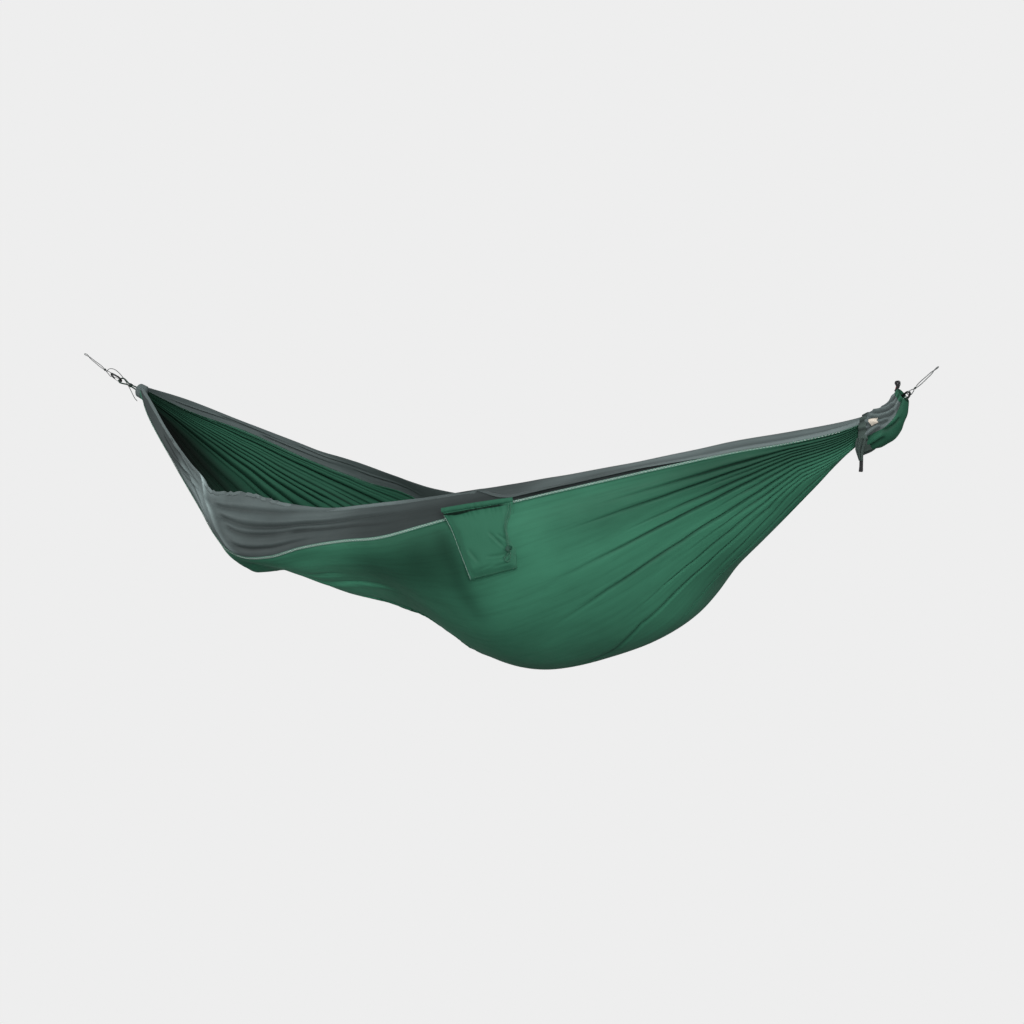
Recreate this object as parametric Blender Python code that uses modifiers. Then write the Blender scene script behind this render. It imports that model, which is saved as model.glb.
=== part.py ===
"""Camping hammock slung between two anchors, as separate sub-parts.

The model's origin is the eye of the left anchor rope, +X runs to the right end, +Z is up and
-Y is the near side, where the stuff pocket hangs.  All lengths are in metres.  The shapes are
worked out from the hook line, the level line through the two carabiners' nose bars, which is
also the axis that the bed swings about.
"""
import math

import bmesh
import bpy
from mathutils import Matrix, Vector

# Driving dimensions ---------------------------------------------------------------------------

LEFT_HOOK = Vector((-1.420, 0.0, 0.0))      # nose bar of each carabiner, on the hook line
RIGHT_HOOK = Vector((1.394, 0.0, 0.0))
LEFT_EYE = Vector((-1.540, 0.0, 0.070))     # where each anchor rope turns round its anchor
RIGHT_EYE = Vector((1.470, 0.0, 0.070))
LEFT_TILT = math.radians(21.5)              # the end rigging's slope below the hook line
RIGHT_TILT = math.radians(39.0)

GAP = 0.0004                                # clearance between neighbouring solids
CLOTH = 0.0014                              # thickness that stands for one layer of cloth
TAPE = 0.0012
TAPE_GAP = 0.0010
TAPE_SHARE = 0.06                           # seam tape's half width, as a share of a row's step
HEM_SHARE = 0.12
SEAM_GAP = 0.04
HEM_GAP = 0.06

ROPE_RADIUS = 0.00125                       # anchor rope
ROPE_EYE_RADIUS = 0.0056
KNOT_RADIUS = 0.0055
LEFT_KNOT_REACH = 0.034                     # nose bar to the knot's centre
RIGHT_KNOT_REACH = 0.0195

BAR_RADIUS = 0.003                          # carabiner
RING_RADIUS = 0.012
RING_LENGTH = 0.046
GATE_PIVOT = 0.034
GATE_WIRE = 0.0008
CARABINER_ROLL = math.radians(45.0)

LOOP_RADIUS = 0.0025                        # thick end loop, spliced through the channel
LOOP_TURN_RADIUS = 0.010
LEFT_SEIZING_REACH = 0.086
RIGHT_SEIZING_REACH = 0.068
SEIZING_LENGTH = 0.011
LEFT_CHANNEL_REACH = 0.122                  # gathered sleeve at each end of the cloth
RIGHT_CHANNEL_REACH = 0.088
CHANNEL_LENGTH = 0.0285
CHANNEL_HALF_WIDTH = 0.015
CHANNEL_HALF_HEIGHT = 0.023
TIP_GAP = 0.003                             # from the channel to the cloth's end

SACK_WALL = 0.0016                          # storage sack, slipped over the right-hand rigging

POCKET_DEPTH = 0.018                        # stuff pocket on the near seam
POCKET_LEFT = Vector((0.232, -0.475, -0.324))
POCKET_RIGHT = Vector((0.429, -0.418, -0.2885))
LOCK_DROP = -0.134
LOCK_ALONG = 0.181
LOCK_RADIUS = 0.007
CORD_RADIUS = 0.0011

# The bed's lengthwise lines, from the left end to the right, with seven points across the cloth
# in the order near rim, near seam, near flank, keel, far flank, far seam, far rim.  The gathered
# ends before the first row and after the last are worked out by tip_row.
BED_ROWS = [
    [(-1.175, -.058, -.096), (-1.150, -.090, -.135), (-1.150, -.075, -.180), (-1.140, -.020, -.205),
     (-1.150, .070, -.170), (-1.170, .085, -.125), (-1.180, .070, -.090)],
    [(-1.010, -.148, -.205), (-.975, -.190, -.250), (-.960, -.170, -.330), (-.950, -.060, -.370),
     (-.960, .150, -.300), (-.980, .170, -.215), (-1.000, .170, -.152)],
    [(-.715, -.345, -.330), (-.560, -.415, -.505), (-.570, -.300, -.548), (-.590, -.110, -.600),
     (-.620, .295, -.500), (-.660, .335, -.335), (-.690, .300, -.260)],
    [(-.380, -.425, -.352), (-.270, -.465, -.480), (-.300, -.300, -.562), (-.330, -.040, -.662),
     (-.330, .380, -.605), (-.340, .420, -.455), (-.360, .362, -.362)],
    [(-.060, -.425, -.334), (.020, -.478, -.420), (.000, -.330, -.618), (-.040, .000, -.765),
     (-.020, .420, -.670), (-.020, .455, -.510), (-.040, .390, -.390)],
    [(.240, -.380, -.287), (.300, -.440, -.338), (.280, -.350, -.640), (.250, .000, -.850),
     (.270, .420, -.695), (.270, .440, -.500), (.250, .375, -.370)],
    [(.640, -.245, -.208), (.680, -.300, -.236), (.690, -.262, -.505), (.715, .000, -.700),
     (.690, .335, -.555), (.680, .335, -.375), (.660, .280, -.275)],
    [(.960, -.115, -.133), (.980, -.160, -.160), (.960, -.140, -.330), (.960, .000, -.460),
     (.960, .175, -.345), (.960, .180, -.235), (.950, .150, -.180)],
    [(1.246, -.014, -.072), (1.246, -.026, -.094), (1.243, -.026, -.134), (1.240, .000, -.166),
     (1.243, .024, -.136), (1.246, .024, -.098), (1.246, .012, -.074)],
]
TIP_ANGLES = [150, 105, 52, 0, -52, -105, -150]     # the same seven points round a gathered tip
TIP_HALF_WIDTH = 0.013
TIP_HALF_HEIGHT = 0.021
NEAR_SEAM, FAR_SEAM, FAR_RIM = 1, 5, 6

# Sections of the sack and of its band: reach along the rigging, top and bottom offsets, half
# width, and how far the section leans back from square as its height grows.
SACK_SECTIONS = [
    (0.018, 0.0275, -0.0165, 0.018, 0.00),
    (0.034, 0.0240, -0.0330, 0.022, 0.00),
    (0.058, 0.0200, -0.0510, 0.026, 0.05),
    (0.088, 0.0265, -0.0660, 0.032, 0.15),
    (0.115, 0.0340, -0.0640, 0.036, 0.30),
    (0.142, 0.0370, -0.0560, 0.036, 0.60),
]
BAND_SECTIONS = [
    (0.1448, 0.0400, -0.0540, 0.0365, 0.60),
    (0.1640, 0.0450, -0.0520, 0.0365, 0.75),
]

COLOURS = {                                 # base colour, roughness, metallic
    "green_nylon": ((0.050, 0.155, 0.105), 0.55, 0.0),
    "grey_nylon": ((0.095, 0.125, 0.125), 0.55, 0.0),
    "pale_stitching": ((0.300, 0.420, 0.380), 0.70, 0.0),
    "grey_rope": ((0.190, 0.200, 0.200), 0.75, 0.0),
    "black_rope": ((0.012, 0.022, 0.018), 0.80, 0.0),
    "black_metal": ((0.015, 0.016, 0.018), 0.35, 0.6),
    "steel_wire": ((0.250, 0.255, 0.260), 0.30, 1.0),
    "black_webbing": ((0.012, 0.012, 0.013), 0.80, 0.0),
    "red_thread": ((0.520, 0.080, 0.040), 0.70, 0.0),
    "pale_patch": ((0.620, 0.560, 0.480), 0.70, 0.0),
    "green_plastic": ((0.020, 0.070, 0.048), 0.45, 0.0),
}

parts = None                                # the collections, made in main
cutters = None


# Shared helpers -------------------------------------------------------------------------------

def material(name):
    found = bpy.data.materials.get(name)
    if found:
        return found
    made = bpy.data.materials.new(name)
    made.use_nodes = True
    colour, roughness, metallic = COLOURS[name]
    shader = made.node_tree.nodes["Principled BSDF"]
    shader.inputs["Base Color"].default_value = (*colour, 1.0)
    shader.inputs["Roughness"].default_value = roughness
    shader.inputs["Metallic"].default_value = metallic
    made.diffuse_color = (*colour, 1.0)
    return made


def add(name, data, finish, parent, location=(0, 0, 0), rotation=(0, 0, 0)):
    """Link a new object for one sub-part."""
    made = bpy.data.objects.new(name, data)
    data.materials.append(material(finish))
    parts.objects.link(made)
    made.parent = parent
    made.location = location
    made.rotation_euler = rotation
    return made


def empty(name, parent, matrix):
    made = bpy.data.objects.new(name, None)
    parts.objects.link(made)
    made.parent = parent
    made.matrix_local = matrix
    return made


def shade(mesh, angle=40):
    mesh.shade_smooth()
    mesh.set_sharp_from_angle(angle=math.radians(angle))


def slope(before, here, after):
    """The direction of a smooth curve at a point, per unit length, from its neighbours."""
    back, ahead = (here - before).length, (after - here).length
    return ((here - before) * ahead / back + (after - here) * back / ahead) / (back + ahead)


def smooth(points, t):
    """A point on the smooth curve through a list of points; t counts the points from 0."""
    last = len(points) - 1
    i = min(int(max(t, 0.0)), last - 1)
    f = t - i
    p1, p2 = points[i], points[i + 1]
    chord = (p2 - p1).length
    slope1 = slope(points[i - 1], p1, p2) * chord if i > 0 else p2 - p1
    slope2 = slope(p1, p2, points[i + 2]) * chord if i + 2 <= last else p2 - p1
    return (p1 * (2 * f ** 3 - 3 * f ** 2 + 1) + slope1 * (f ** 3 - 2 * f ** 2 + f)
            + p2 * (3 * f ** 2 - 2 * f ** 3) + slope2 * (f ** 3 - f ** 2))


def smooth_route(points, count):
    points = [Vector(point) for point in points]
    return [smooth(points, (len(points) - 1) * i / (count - 1)) for i in range(count)]


def arc(centre, radius, start, end, count, across="y"):
    """Points on an arc in the local X-Y or X-Z plane, with angles in degrees from +X."""
    points = []
    for i in range(count):
        angle = math.radians(start + (end - start) * i / (count - 1))
        x, other = radius * math.cos(angle), radius * math.sin(angle)
        offset = (x, other, 0) if across == "y" else (x, 0, other)
        points.append(Vector(centre) + Vector(offset))
    return points


def tube(name, points, radius, finish, parent, resolution=2):
    """A wire, cord or rope with flat ends."""
    curve = bpy.data.curves.new(name, "CURVE")
    curve.dimensions = "3D"
    curve.bevel_depth = radius
    curve.bevel_resolution = resolution
    curve.use_fill_caps = True
    spline = curve.splines.new("POLY")
    spline.points.add(len(points) - 1)
    for place, point in zip(spline.points, points):
        place.co = (*point, 1.0)
    spline.use_smooth = True
    return add(name, curve, finish, parent)


def tube_mesh(name, points, radius, finish, parent, resolution=2):
    """The same as a mesh, with its caps welded, so that it can be cut."""
    curve = tube(name + "_curve", points, radius, finish, parent, resolution)
    graph = bpy.context.evaluated_depsgraph_get()
    mesh = bpy.data.meshes.new_from_object(curve.evaluated_get(graph))
    bpy.data.objects.remove(curve)
    shape = bmesh.new()
    shape.from_mesh(mesh)
    bmesh.ops.remove_doubles(shape, verts=shape.verts, dist=0.00001)
    shape.to_mesh(mesh)
    shape.free()
    mesh.materials.clear()
    shade(mesh)
    return add(name, mesh, finish, parent)


def cylinder_mesh(name, radius, length, sides, axis="Z"):
    """A cylinder centred on its own origin, along one of the axes."""
    turn = {"X": Matrix.Rotation(math.pi / 2, 4, "Y"),
            "Y": Matrix.Rotation(math.pi / 2, 4, "X"),
            "Z": Matrix.Identity(4)}[axis]
    mesh = bpy.data.meshes.new(name)
    shape = bmesh.new()
    bmesh.ops.create_cone(shape, cap_ends=True, segments=sides, radius1=radius, radius2=radius,
                          depth=length, matrix=turn)
    shape.to_mesh(mesh)
    shape.free()
    shade(mesh)
    return mesh


def box_mesh(name, size):
    mesh = bpy.data.meshes.new(name)
    shape = bmesh.new()
    bmesh.ops.create_cube(shape, size=1.0, matrix=Matrix.Diagonal((*size, 1.0)))
    shape.to_mesh(mesh)
    shape.free()
    return mesh


def cut(target, name, mesh, location):
    """Cut a shape, placed in the same parent's space, out of a sub-part."""
    tool = bpy.data.objects.new(name, mesh)
    cutters.objects.link(tool)
    tool.parent = target.parent
    tool.location = location
    tool.hide_render = True
    tool.display_type = "WIRE"
    step = target.modifiers.new(name, "BOOLEAN")
    step.operation = "DIFFERENCE"
    step.solver = "EXACT"
    step.object = tool


def prism_mesh(name, outline, back, front):
    """A solid between two planes of constant Y, from an outline of (x, z) points."""
    mesh = bpy.data.meshes.new(name)
    shape = bmesh.new()
    rings = [[shape.verts.new((x, y, z)) for x, z in outline] for y in (back, front)]
    count = len(outline)
    shape.faces.new(rings[0])
    shape.faces.new(reversed(rings[1]))
    for i in range(count):
        j = (i + 1) % count
        shape.faces.new((rings[0][j], rings[0][i], rings[1][i], rings[1][j]))
    bmesh.ops.recalc_face_normals(shape, faces=shape.faces)
    shape.to_mesh(mesh)
    shape.free()
    return mesh


def slab(name, surface, along, across, low, high, finish, parent):
    """A closed layer of cloth: a loft of the surface, between two offsets along its normal."""
    step = 0.01
    rows = {low: [], high: []}
    shape = bmesh.new()
    for u in along:
        for offset in rows:
            rows[offset].append([])
        for t in across:
            du = surface(u + step, t) - surface(u - step, t)
            dt = surface(u, t + step) - surface(u, t - step)
            normal = dt.cross(du).normalized()
            for offset in rows:
                rows[offset][-1].append(shape.verts.new(surface(u, t) + normal * offset))
    inner, outer = rows[low], rows[high]
    for i in range(len(along) - 1):
        for j in range(len(across) - 1):
            for layer in (inner, outer):
                shape.faces.new((layer[i][j], layer[i + 1][j], layer[i + 1][j + 1], layer[i][j + 1]))
        for j in (0, len(across) - 1):
            shape.faces.new((inner[i][j], inner[i + 1][j], outer[i + 1][j], outer[i][j]))
    for j in range(len(across) - 1):
        for i in (0, len(along) - 1):
            shape.faces.new((inner[i][j], inner[i][j + 1], outer[i][j + 1], outer[i][j]))
    bmesh.ops.recalc_face_normals(shape, faces=shape.faces)
    mesh = bpy.data.meshes.new(name)
    shape.to_mesh(mesh)
    shape.free()
    shade(mesh, 50)
    return add(name, mesh, finish, parent)


def steps(start, end, count):
    return [start + (end - start) * i / count for i in range(count + 1)]


# The cloth bed --------------------------------------------------------------------------------

def tip_row(hook, along, reach):
    """Seven points round the gathered cloth, at a distance down the rigging from its hook."""
    up = Vector((0, 1, 0)).cross(along)
    if up.z < 0:
        up.negate()
    centre = hook + along * reach
    row = []
    for degrees in TIP_ANGLES:
        angle = math.radians(degrees)
        row.append(centre - Vector((0, TIP_HALF_WIDTH * math.sin(angle), 0))
                   - up * TIP_HALF_HEIGHT * math.cos(angle))
    return row


def bed_surface():
    left_along = Vector((math.cos(LEFT_TILT), 0, -math.sin(LEFT_TILT)))
    right_along = Vector((-math.cos(RIGHT_TILT), 0, -math.sin(RIGHT_TILT)))
    channel = CHANNEL_LENGTH + TIP_GAP
    rows = [tip_row(LEFT_HOOK, left_along, LEFT_CHANNEL_REACH + channel)]
    rows += [[Vector(point) for point in row] for row in BED_ROWS]
    rows.append(tip_row(RIGHT_HOOK, right_along, RIGHT_CHANNEL_REACH + channel))
    lines = [[row[k] for row in rows] for k in range(len(TIP_ANGLES))]

    def surface(u, t):
        return smooth([smooth(line, u) for line in lines], t)

    return surface, len(rows) - 1


def build_bed(rig):
    """All the layers share their rows, so that their facets lie flat on each other."""
    surface, end = bed_surface()
    along = steps(0, 2, 8) + steps(2, end - 2, 12)[1:] + steps(end - 2, end, 8)[1:]
    half = CLOTH / 2
    near_tape, far_tape = NEAR_SEAM + TAPE_SHARE, FAR_SEAM - TAPE_SHARE
    layers = {
        "near_rim_hem": ([0.0, HEM_SHARE], "grey_nylon"),
        "near_side_panel": ([HEM_SHARE + HEM_GAP, 0.5, NEAR_SEAM - TAPE_SHARE,
                             NEAR_SEAM - SEAM_GAP], "grey_nylon"),
        "centre_panel": ([NEAR_SEAM] + steps(near_tape, far_tape, 12) + [FAR_SEAM], "green_nylon"),
        "far_side_panel": ([FAR_SEAM + SEAM_GAP, FAR_SEAM + TAPE_SHARE, FAR_RIM - 0.5,
                            FAR_RIM - HEM_SHARE - HEM_GAP], "grey_nylon"),
        "far_rim_hem": ([FAR_RIM - HEM_SHARE, FAR_RIM], "grey_nylon"),
    }
    for name, (across, finish) in layers.items():
        slab(name, surface, along, across, -half, half, finish, rig)
    for name, seam in (("near_seam_tape", NEAR_SEAM), ("far_seam_tape", FAR_SEAM)):
        slab(name, surface, along[1:-8], [seam - TAPE_SHARE, seam, seam + TAPE_SHARE],
             half + TAPE_GAP, half + TAPE_GAP + TAPE, "pale_stitching", rig)


# Ropes and hardware at each end ---------------------------------------------------------------

def build_anchor_rope(side, hook, eye, knot_reach, rig):
    """The anchor rope: two strands from the knot to the eye, and a small eye round the hook."""
    along = eye - hook
    length = along.length
    frame = empty(f"{side}_rope_frame", rig, frame_matrix(hook, along))
    knot_face = knot_reach + KNOT_RADIUS + GAP
    turn = length - ROPE_EYE_RADIUS
    strand = ROPE_RADIUS * 1.25
    outward = [(knot_face, 0, strand), (knot_face + (turn - knot_face) * 0.4, 0.001, 0.0032),
               (turn - 0.020, 0.0034, 0.0034)]
    back = [(x, -y, -z) for x, y, z in reversed(outward)]
    route = outward + arc((turn, 0, 0), ROPE_EYE_RADIUS, 80, -80, 7) + back
    tube(f"{side}_anchor_rope", smooth_route(route, 46), ROPE_RADIUS, "grey_rope", frame)

    knot = cylinder_mesh(f"{side}_anchor_knot", KNOT_RADIUS * 0.8, KNOT_RADIUS * 2, 10, "X")
    add(f"{side}_anchor_knot", knot, "black_rope", frame, (knot_reach, 0, 0))

    near_face = knot_reach - KNOT_RADIUS - GAP
    start = [(near_face, strand, 0), (near_face - 0.002, strand, 0),
             (near_face * 0.55 + 0.003, 0.0030, 0)]
    finish = [(x, -y, z) for x, y, z in reversed(start)]
    route = start + arc((0, 0, 0), ROPE_EYE_RADIUS, 62, 298, 9) + finish
    hook_eye = tube(f"{side}_hook_eye", smooth_route(route, 30), ROPE_RADIUS, "grey_rope", frame)
    hook_eye.rotation_euler = (-CARABINER_ROLL, 0, 0)


def frame_matrix(origin, along, roll=0.0):
    """A frame with local X along a direction in the X-Z plane and local Z as near up as it can."""
    x_axis = along.normalized()
    z_axis = x_axis.cross(Vector((0, 1, 0)))
    if z_axis.z < 0:
        z_axis.negate()
    y_axis = z_axis.cross(x_axis)
    turn = Matrix((x_axis, y_axis, z_axis)).transposed().to_4x4()
    return Matrix.Translation(origin) @ turn @ Matrix.Rotation(roll, 4, "X")


def build_carabiner(side, chain):
    """A wire-gate carabiner with its nose bar on the chain frame's origin."""
    frame = empty(f"{side}_carabiner_frame", chain, Matrix.Rotation(CARABINER_ROLL, 4, "X"))
    far = RING_LENGTH - RING_RADIUS
    hinge_end = (GATE_PIVOT - 0.006, 0, -RING_RADIUS)
    route = ([Vector(hinge_end)] + arc((far, 0, 0), RING_RADIUS, -90, 90, 11, "z")
             + arc((RING_RADIUS, 0, 0), RING_RADIUS, 90, 262, 11, "z"))
    body = tube_mesh(f"{side}_carabiner_body", route, BAR_RADIUS, "black_metal", frame)
    pivot = (GATE_PIVOT, 0, -RING_RADIUS)
    socket = cylinder_mesh("gate_socket", GATE_WIRE + 0.0004, 0.02, 12, "Y")
    cut(body, f"{side}_gate_socket_cutter", socket, pivot)

    outside = BAR_RADIUS + GATE_WIRE + GAP
    crossbar = Vector((0.0100, 0, -0.0072)) - Vector(pivot)
    route = [(0, -0.0012, 0), (0, -outside + 0.0006, 0), (-0.0010, -outside, 0.0002),
             (crossbar.x + 0.004, -outside + 0.0004, crossbar.z - 0.0006),
             (crossbar.x + 0.0010, -outside + 0.0016, crossbar.z), (crossbar.x, 0, crossbar.z)]
    route += [(x, -y, z) for x, y, z in reversed(route[:-1])]
    gate = tube(f"{side}_wire_gate", [Vector(point) for point in route], GATE_WIRE,
                "steel_wire", frame)
    gate.location = pivot


def build_end(side, hook, tilt, seizing_reach, channel_reach, rig):
    """Carabiner, end loop, seizing and gathered channel, from the hook towards the bed."""
    outward = 1 if side == "left" else -1
    along = Vector((outward * math.cos(tilt), 0, -math.sin(tilt)))
    chain = empty(f"{side}_end_frame", rig, frame_matrix(hook, along))
    build_carabiner(side, chain)

    turn = RING_LENGTH - BAR_RADIUS - LOOP_RADIUS - GAP + LOOP_TURN_RADIUS
    strand = LOOP_RADIUS + GAP
    finish = [(seizing_reach - 0.004, -strand * 1.05, 0), (seizing_reach, -strand, 0),
              (seizing_reach + SEIZING_LENGTH, -strand, 0), (channel_reach - 0.003, -0.0042, 0),
              (channel_reach - GAP, -0.0042, 0)]
    start = [(x, -y, z) for x, y, z in reversed(finish)]
    route = start + arc((turn, 0, 0), LOOP_TURN_RADIUS, 75, 285, 9) + finish
    loop = tube(f"{side}_end_loop", smooth_route(route, 44), LOOP_RADIUS, "black_rope", chain)
    loop.rotation_euler = (CARABINER_ROLL, 0, 0)
    build_seizing(side, chain, strand, seizing_reach + SEIZING_LENGTH / 2)

    channel = cylinder_mesh(f"{side}_end_channel", 1.0, CHANNEL_LENGTH, 16, "X")
    channel.transform(Matrix.Diagonal((1, CHANNEL_HALF_WIDTH, CHANNEL_HALF_HEIGHT, 1)))
    sleeve = add(f"{side}_end_channel", channel, "grey_nylon", chain,
                 (channel_reach + CHANNEL_LENGTH / 2, 0, 0))
    rounding = sleeve.modifiers.new("rounding", "BEVEL")
    rounding.width = 0.004
    rounding.segments = 2
    rounding.limit_method = "ANGLE"
    return chain


def build_seizing(side, chain, strand, reach):
    """A short whipped collar that holds the loop's two strands together."""
    hole_half = LOOP_RADIUS + GAP
    curve = bpy.data.curves.new(f"{side}_loop_seizing", "CURVE")
    curve.dimensions = "2D"
    curve.fill_mode = "BOTH"
    curve.extrude = SEIZING_LENGTH / 2 - 0.001
    for radius in (hole_half, hole_half + 0.0016):
        outline = []
        for centre, first in ((strand, -90), (-strand, 90)):
            for i in range(7):
                angle = math.radians(first + 30 * i)
                outline.append((centre + radius * math.cos(angle), radius * math.sin(angle)))
        spline = curve.splines.new("POLY")
        spline.points.add(len(outline) - 1)
        for place, (x, y) in zip(spline.points, outline):
            place.co = (x, y, 0, 1)
        spline.use_cyclic_u = True
    collar = add(f"{side}_loop_seizing", curve, "black_rope", chain)
    lay_along_x = Matrix(((0, 0, 1), (1, 0, 0), (0, 1, 0))).to_4x4()
    collar.matrix_local = (Matrix.Translation((reach, 0, 0))
                           @ Matrix.Rotation(CARABINER_ROLL, 4, "X") @ lay_along_x)


def build_guide_cord(rig):
    """The thin retaining cord, loose over the left rigging, from the hook to the cloth."""
    route = [(-1.4290, -.0125, .0105), (-1.421, -.0140, .0190), (-1.405, -.0140, .0215),
             (-1.389, -.0150, .0180), (-1.375, -.0165, .0110), (-1.361, -.0175, .0010),
             (-1.347, -.0175, -.0130), (-1.335, -.0165, -.0280), (-1.325, -.0160, -.0420),
             (-1.316, -.0165, -.0550), (-1.307, -.0180, -.0670), (-1.298, -.0195, -.0770),
             (-1.289, -.0200, -.0840)]
    tube("left_guide_cord", smooth_route(route, 50), CORD_RADIUS, "black_rope", rig)


# Storage sack at the right end ----------------------------------------------------------------

def sleeve_surface(sections):
    """A surface round the rigging's axis in the chain frame; t is the angle in degrees."""
    rows = [Vector((reach, (top + bottom) / 2, (top - bottom) / 2))
            for reach, top, bottom, width, lean in sections]
    widths = [Vector((width, lean, 0)) for reach, top, bottom, width, lean in sections]

    def surface(u, t):
        reach, middle, half = smooth(rows, u)
        width, lean, _ = smooth(widths, u)
        angle = math.radians(t * 60)
        height = middle + half * math.cos(angle)
        return Vector((reach - lean * height, -width * math.sin(angle), height))

    return surface, len(sections) - 1


def build_sack(chain):
    """t runs from 0 at the top, round the far side; 1 is sixty degrees."""
    surface, end = sleeve_surface(SACK_SECTIONS)
    seam = 0.02
    far_edge, near_edge = 1.9, -1.75
    slab("sack_upper_panel", surface, steps(0, end, 8), steps(near_edge + seam, far_edge - seam, 9),
         0, SACK_WALL, "grey_nylon", chain)
    slab("sack_lower_panel", surface, steps(0, end, 8), steps(far_edge, near_edge + 6, 6),
         0, SACK_WALL, "green_nylon", chain)
    surface, end = sleeve_surface(BAND_SECTIONS)
    slab("sack_wrap_band", surface, steps(0, end, 1), steps(0.02, 5.98, 18), 0, SACK_WALL,
         "grey_nylon", chain)

    tab = tube_loop_mesh("sack_top_tab", 0.0055, 0.0012, 0.012)
    add("sack_top_tab", tab, "black_webbing", chain, (0.0104, 0, 0.0412), (0, math.radians(-20), 0))
    tack = box_mesh("sack_top_tack", (0.008, 0.0125, 0.0008))
    add("sack_top_tack", tack, "red_thread", chain, (0.0195, 0, 0.0320))
    patch = box_mesh("sack_patch", (0.026, 0.0010, 0.013))
    add("sack_patch", patch, "pale_patch", chain, (0.106, 0.0385, -0.001), (math.radians(16), 0, 0))


def tube_loop_mesh(name, radius, thickness, width):
    """A short band of webbing bent into a ring, open where its ends meet."""
    outline = []
    for size in (radius, radius - thickness):
        ring = [(size * math.cos(math.radians(a)), size * math.sin(math.radians(a)))
                for a in range(-75, 256, 30)]
        outline += ring if size == radius else list(reversed(ring))
    return prism_mesh(name, outline, -width / 2, width / 2)


def build_tail(rig):
    """The band's hanging tail and the webbing tab on its end, on one pivot."""
    pivot = empty("tail_pivot", rig, Matrix.Translation((1.280, -0.046, -0.124)))
    outline = [(-0.010, -0.002), (-0.0105, -0.028), (-0.006, -0.054), (0.006, -0.054),
               (0.010, -0.028), (0.011, -0.002)]
    tail = prism_mesh("sack_tie_tail", outline, -0.003, 0.003)
    add("sack_tie_tail", tail, "grey_nylon", pivot)
    tab = box_mesh("sack_tail_tab", (0.010, 0.0024, 0.030))
    add("sack_tail_tab", tab, "black_webbing", pivot, (0.0, 0, -0.0545 - 0.015), (0, 0, 0))


# Stuff pocket on the near seam ----------------------------------------------------------------

POCKET_BACK_OUTLINE = [(0.002, -0.006), (0.206, -0.006), (0.186, -0.194), (0.052, -0.208)]
POCKET_FRONT_OUTLINE = [(0.004, -0.016), (0.205, -0.0115), (0.186, -0.194), (0.052, -0.208)]


def build_pocket(rig):
    """The pocket hangs from the empty on its hinge line: local X along it, local -Y outward."""
    along = (POCKET_RIGHT - POCKET_LEFT).normalized()
    inward = Vector((0, 0, 1)).cross(along).normalized()
    up = along.cross(inward)
    turn = Matrix((along, inward, up)).transposed().to_4x4()
    hinge = empty("pocket_hinge", rig, Matrix.Translation(POCKET_LEFT) @ turn)

    wall = 0.0016
    back = prism_mesh("pocket_back_panel", POCKET_BACK_OUTLINE, -wall, 0.0)
    add("pocket_back_panel", back, "green_nylon", hinge)
    hem = box_mesh("pocket_hem_band", (0.206, 0.0030, 0.0100))
    add("pocket_hem_band", hem, "green_nylon", hinge, (0.104, -wall - GAP - 0.0015, -0.005))

    front = prism_mesh("pocket_front_panel", POCKET_FRONT_OUTLINE, -POCKET_DEPTH, -wall - GAP)
    panel = add("pocket_front_panel", front, "green_nylon", hinge)
    inner = [(0.0065, 0.010), (0.2020, 0.010), (0.1842, -0.1925), (0.0538, -0.2062)]
    room = prism_mesh("pocket_room", inner, -POCKET_DEPTH + wall, 0.01)
    cut(panel, "pocket_room_cutter", room, (0, 0, 0))

    edge = Vector((0.052 - 0.004, 0, -0.208 + 0.014))
    binding = box_mesh("pocket_edge_binding", (0.0018, 0.0120, edge.length - 0.006))
    add("pocket_edge_binding", binding, "pale_stitching", hinge,
        (0.028 - 0.0016, -POCKET_DEPTH / 2 - 0.001, -0.111), (0, -math.atan2(edge.x, -edge.z), 0))

    build_drawcord(hinge)
    build_cord_lock(hinge)


def build_drawcord(hinge):
    """One cord doubled through the lock, with both ends in the mouth's hem."""
    depth = -0.0290
    strand = 0.0016
    down = [(0.2040, -0.0200, -0.013), (0.2028, -0.0222, -0.026), (0.1975, -0.0260, -0.046),
            (0.1880, -0.0285, -0.064), (LOCK_ALONG + strand, depth, -0.080),
            (LOCK_ALONG + strand, depth, -0.100), (LOCK_ALONG + strand, depth, -0.125),
            (LOCK_ALONG + strand, depth, -0.146)]
    turn = [(0.1800, -0.0262, -0.160), (0.1725, -0.0232, -0.1690), (0.1640, -0.0222, -0.1670),
            (0.1635, -0.0222, -0.1580), (0.1720, -0.0250, -0.1520)]
    rise = [(LOCK_ALONG - strand, depth, -0.143), (LOCK_ALONG - strand, depth, -0.120),
            (LOCK_ALONG - strand, depth, -0.100), (LOCK_ALONG - strand, depth, -0.080),
            (0.1835, -0.0286, -0.062), (0.1920, -0.0260, -0.043), (0.1975, -0.0225, -0.026),
            (0.1985, -0.0200, -0.0135)]
    tube("pocket_drawcord", smooth_route(down + turn + rise, 76), CORD_RADIUS, "black_rope", hinge)


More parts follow.
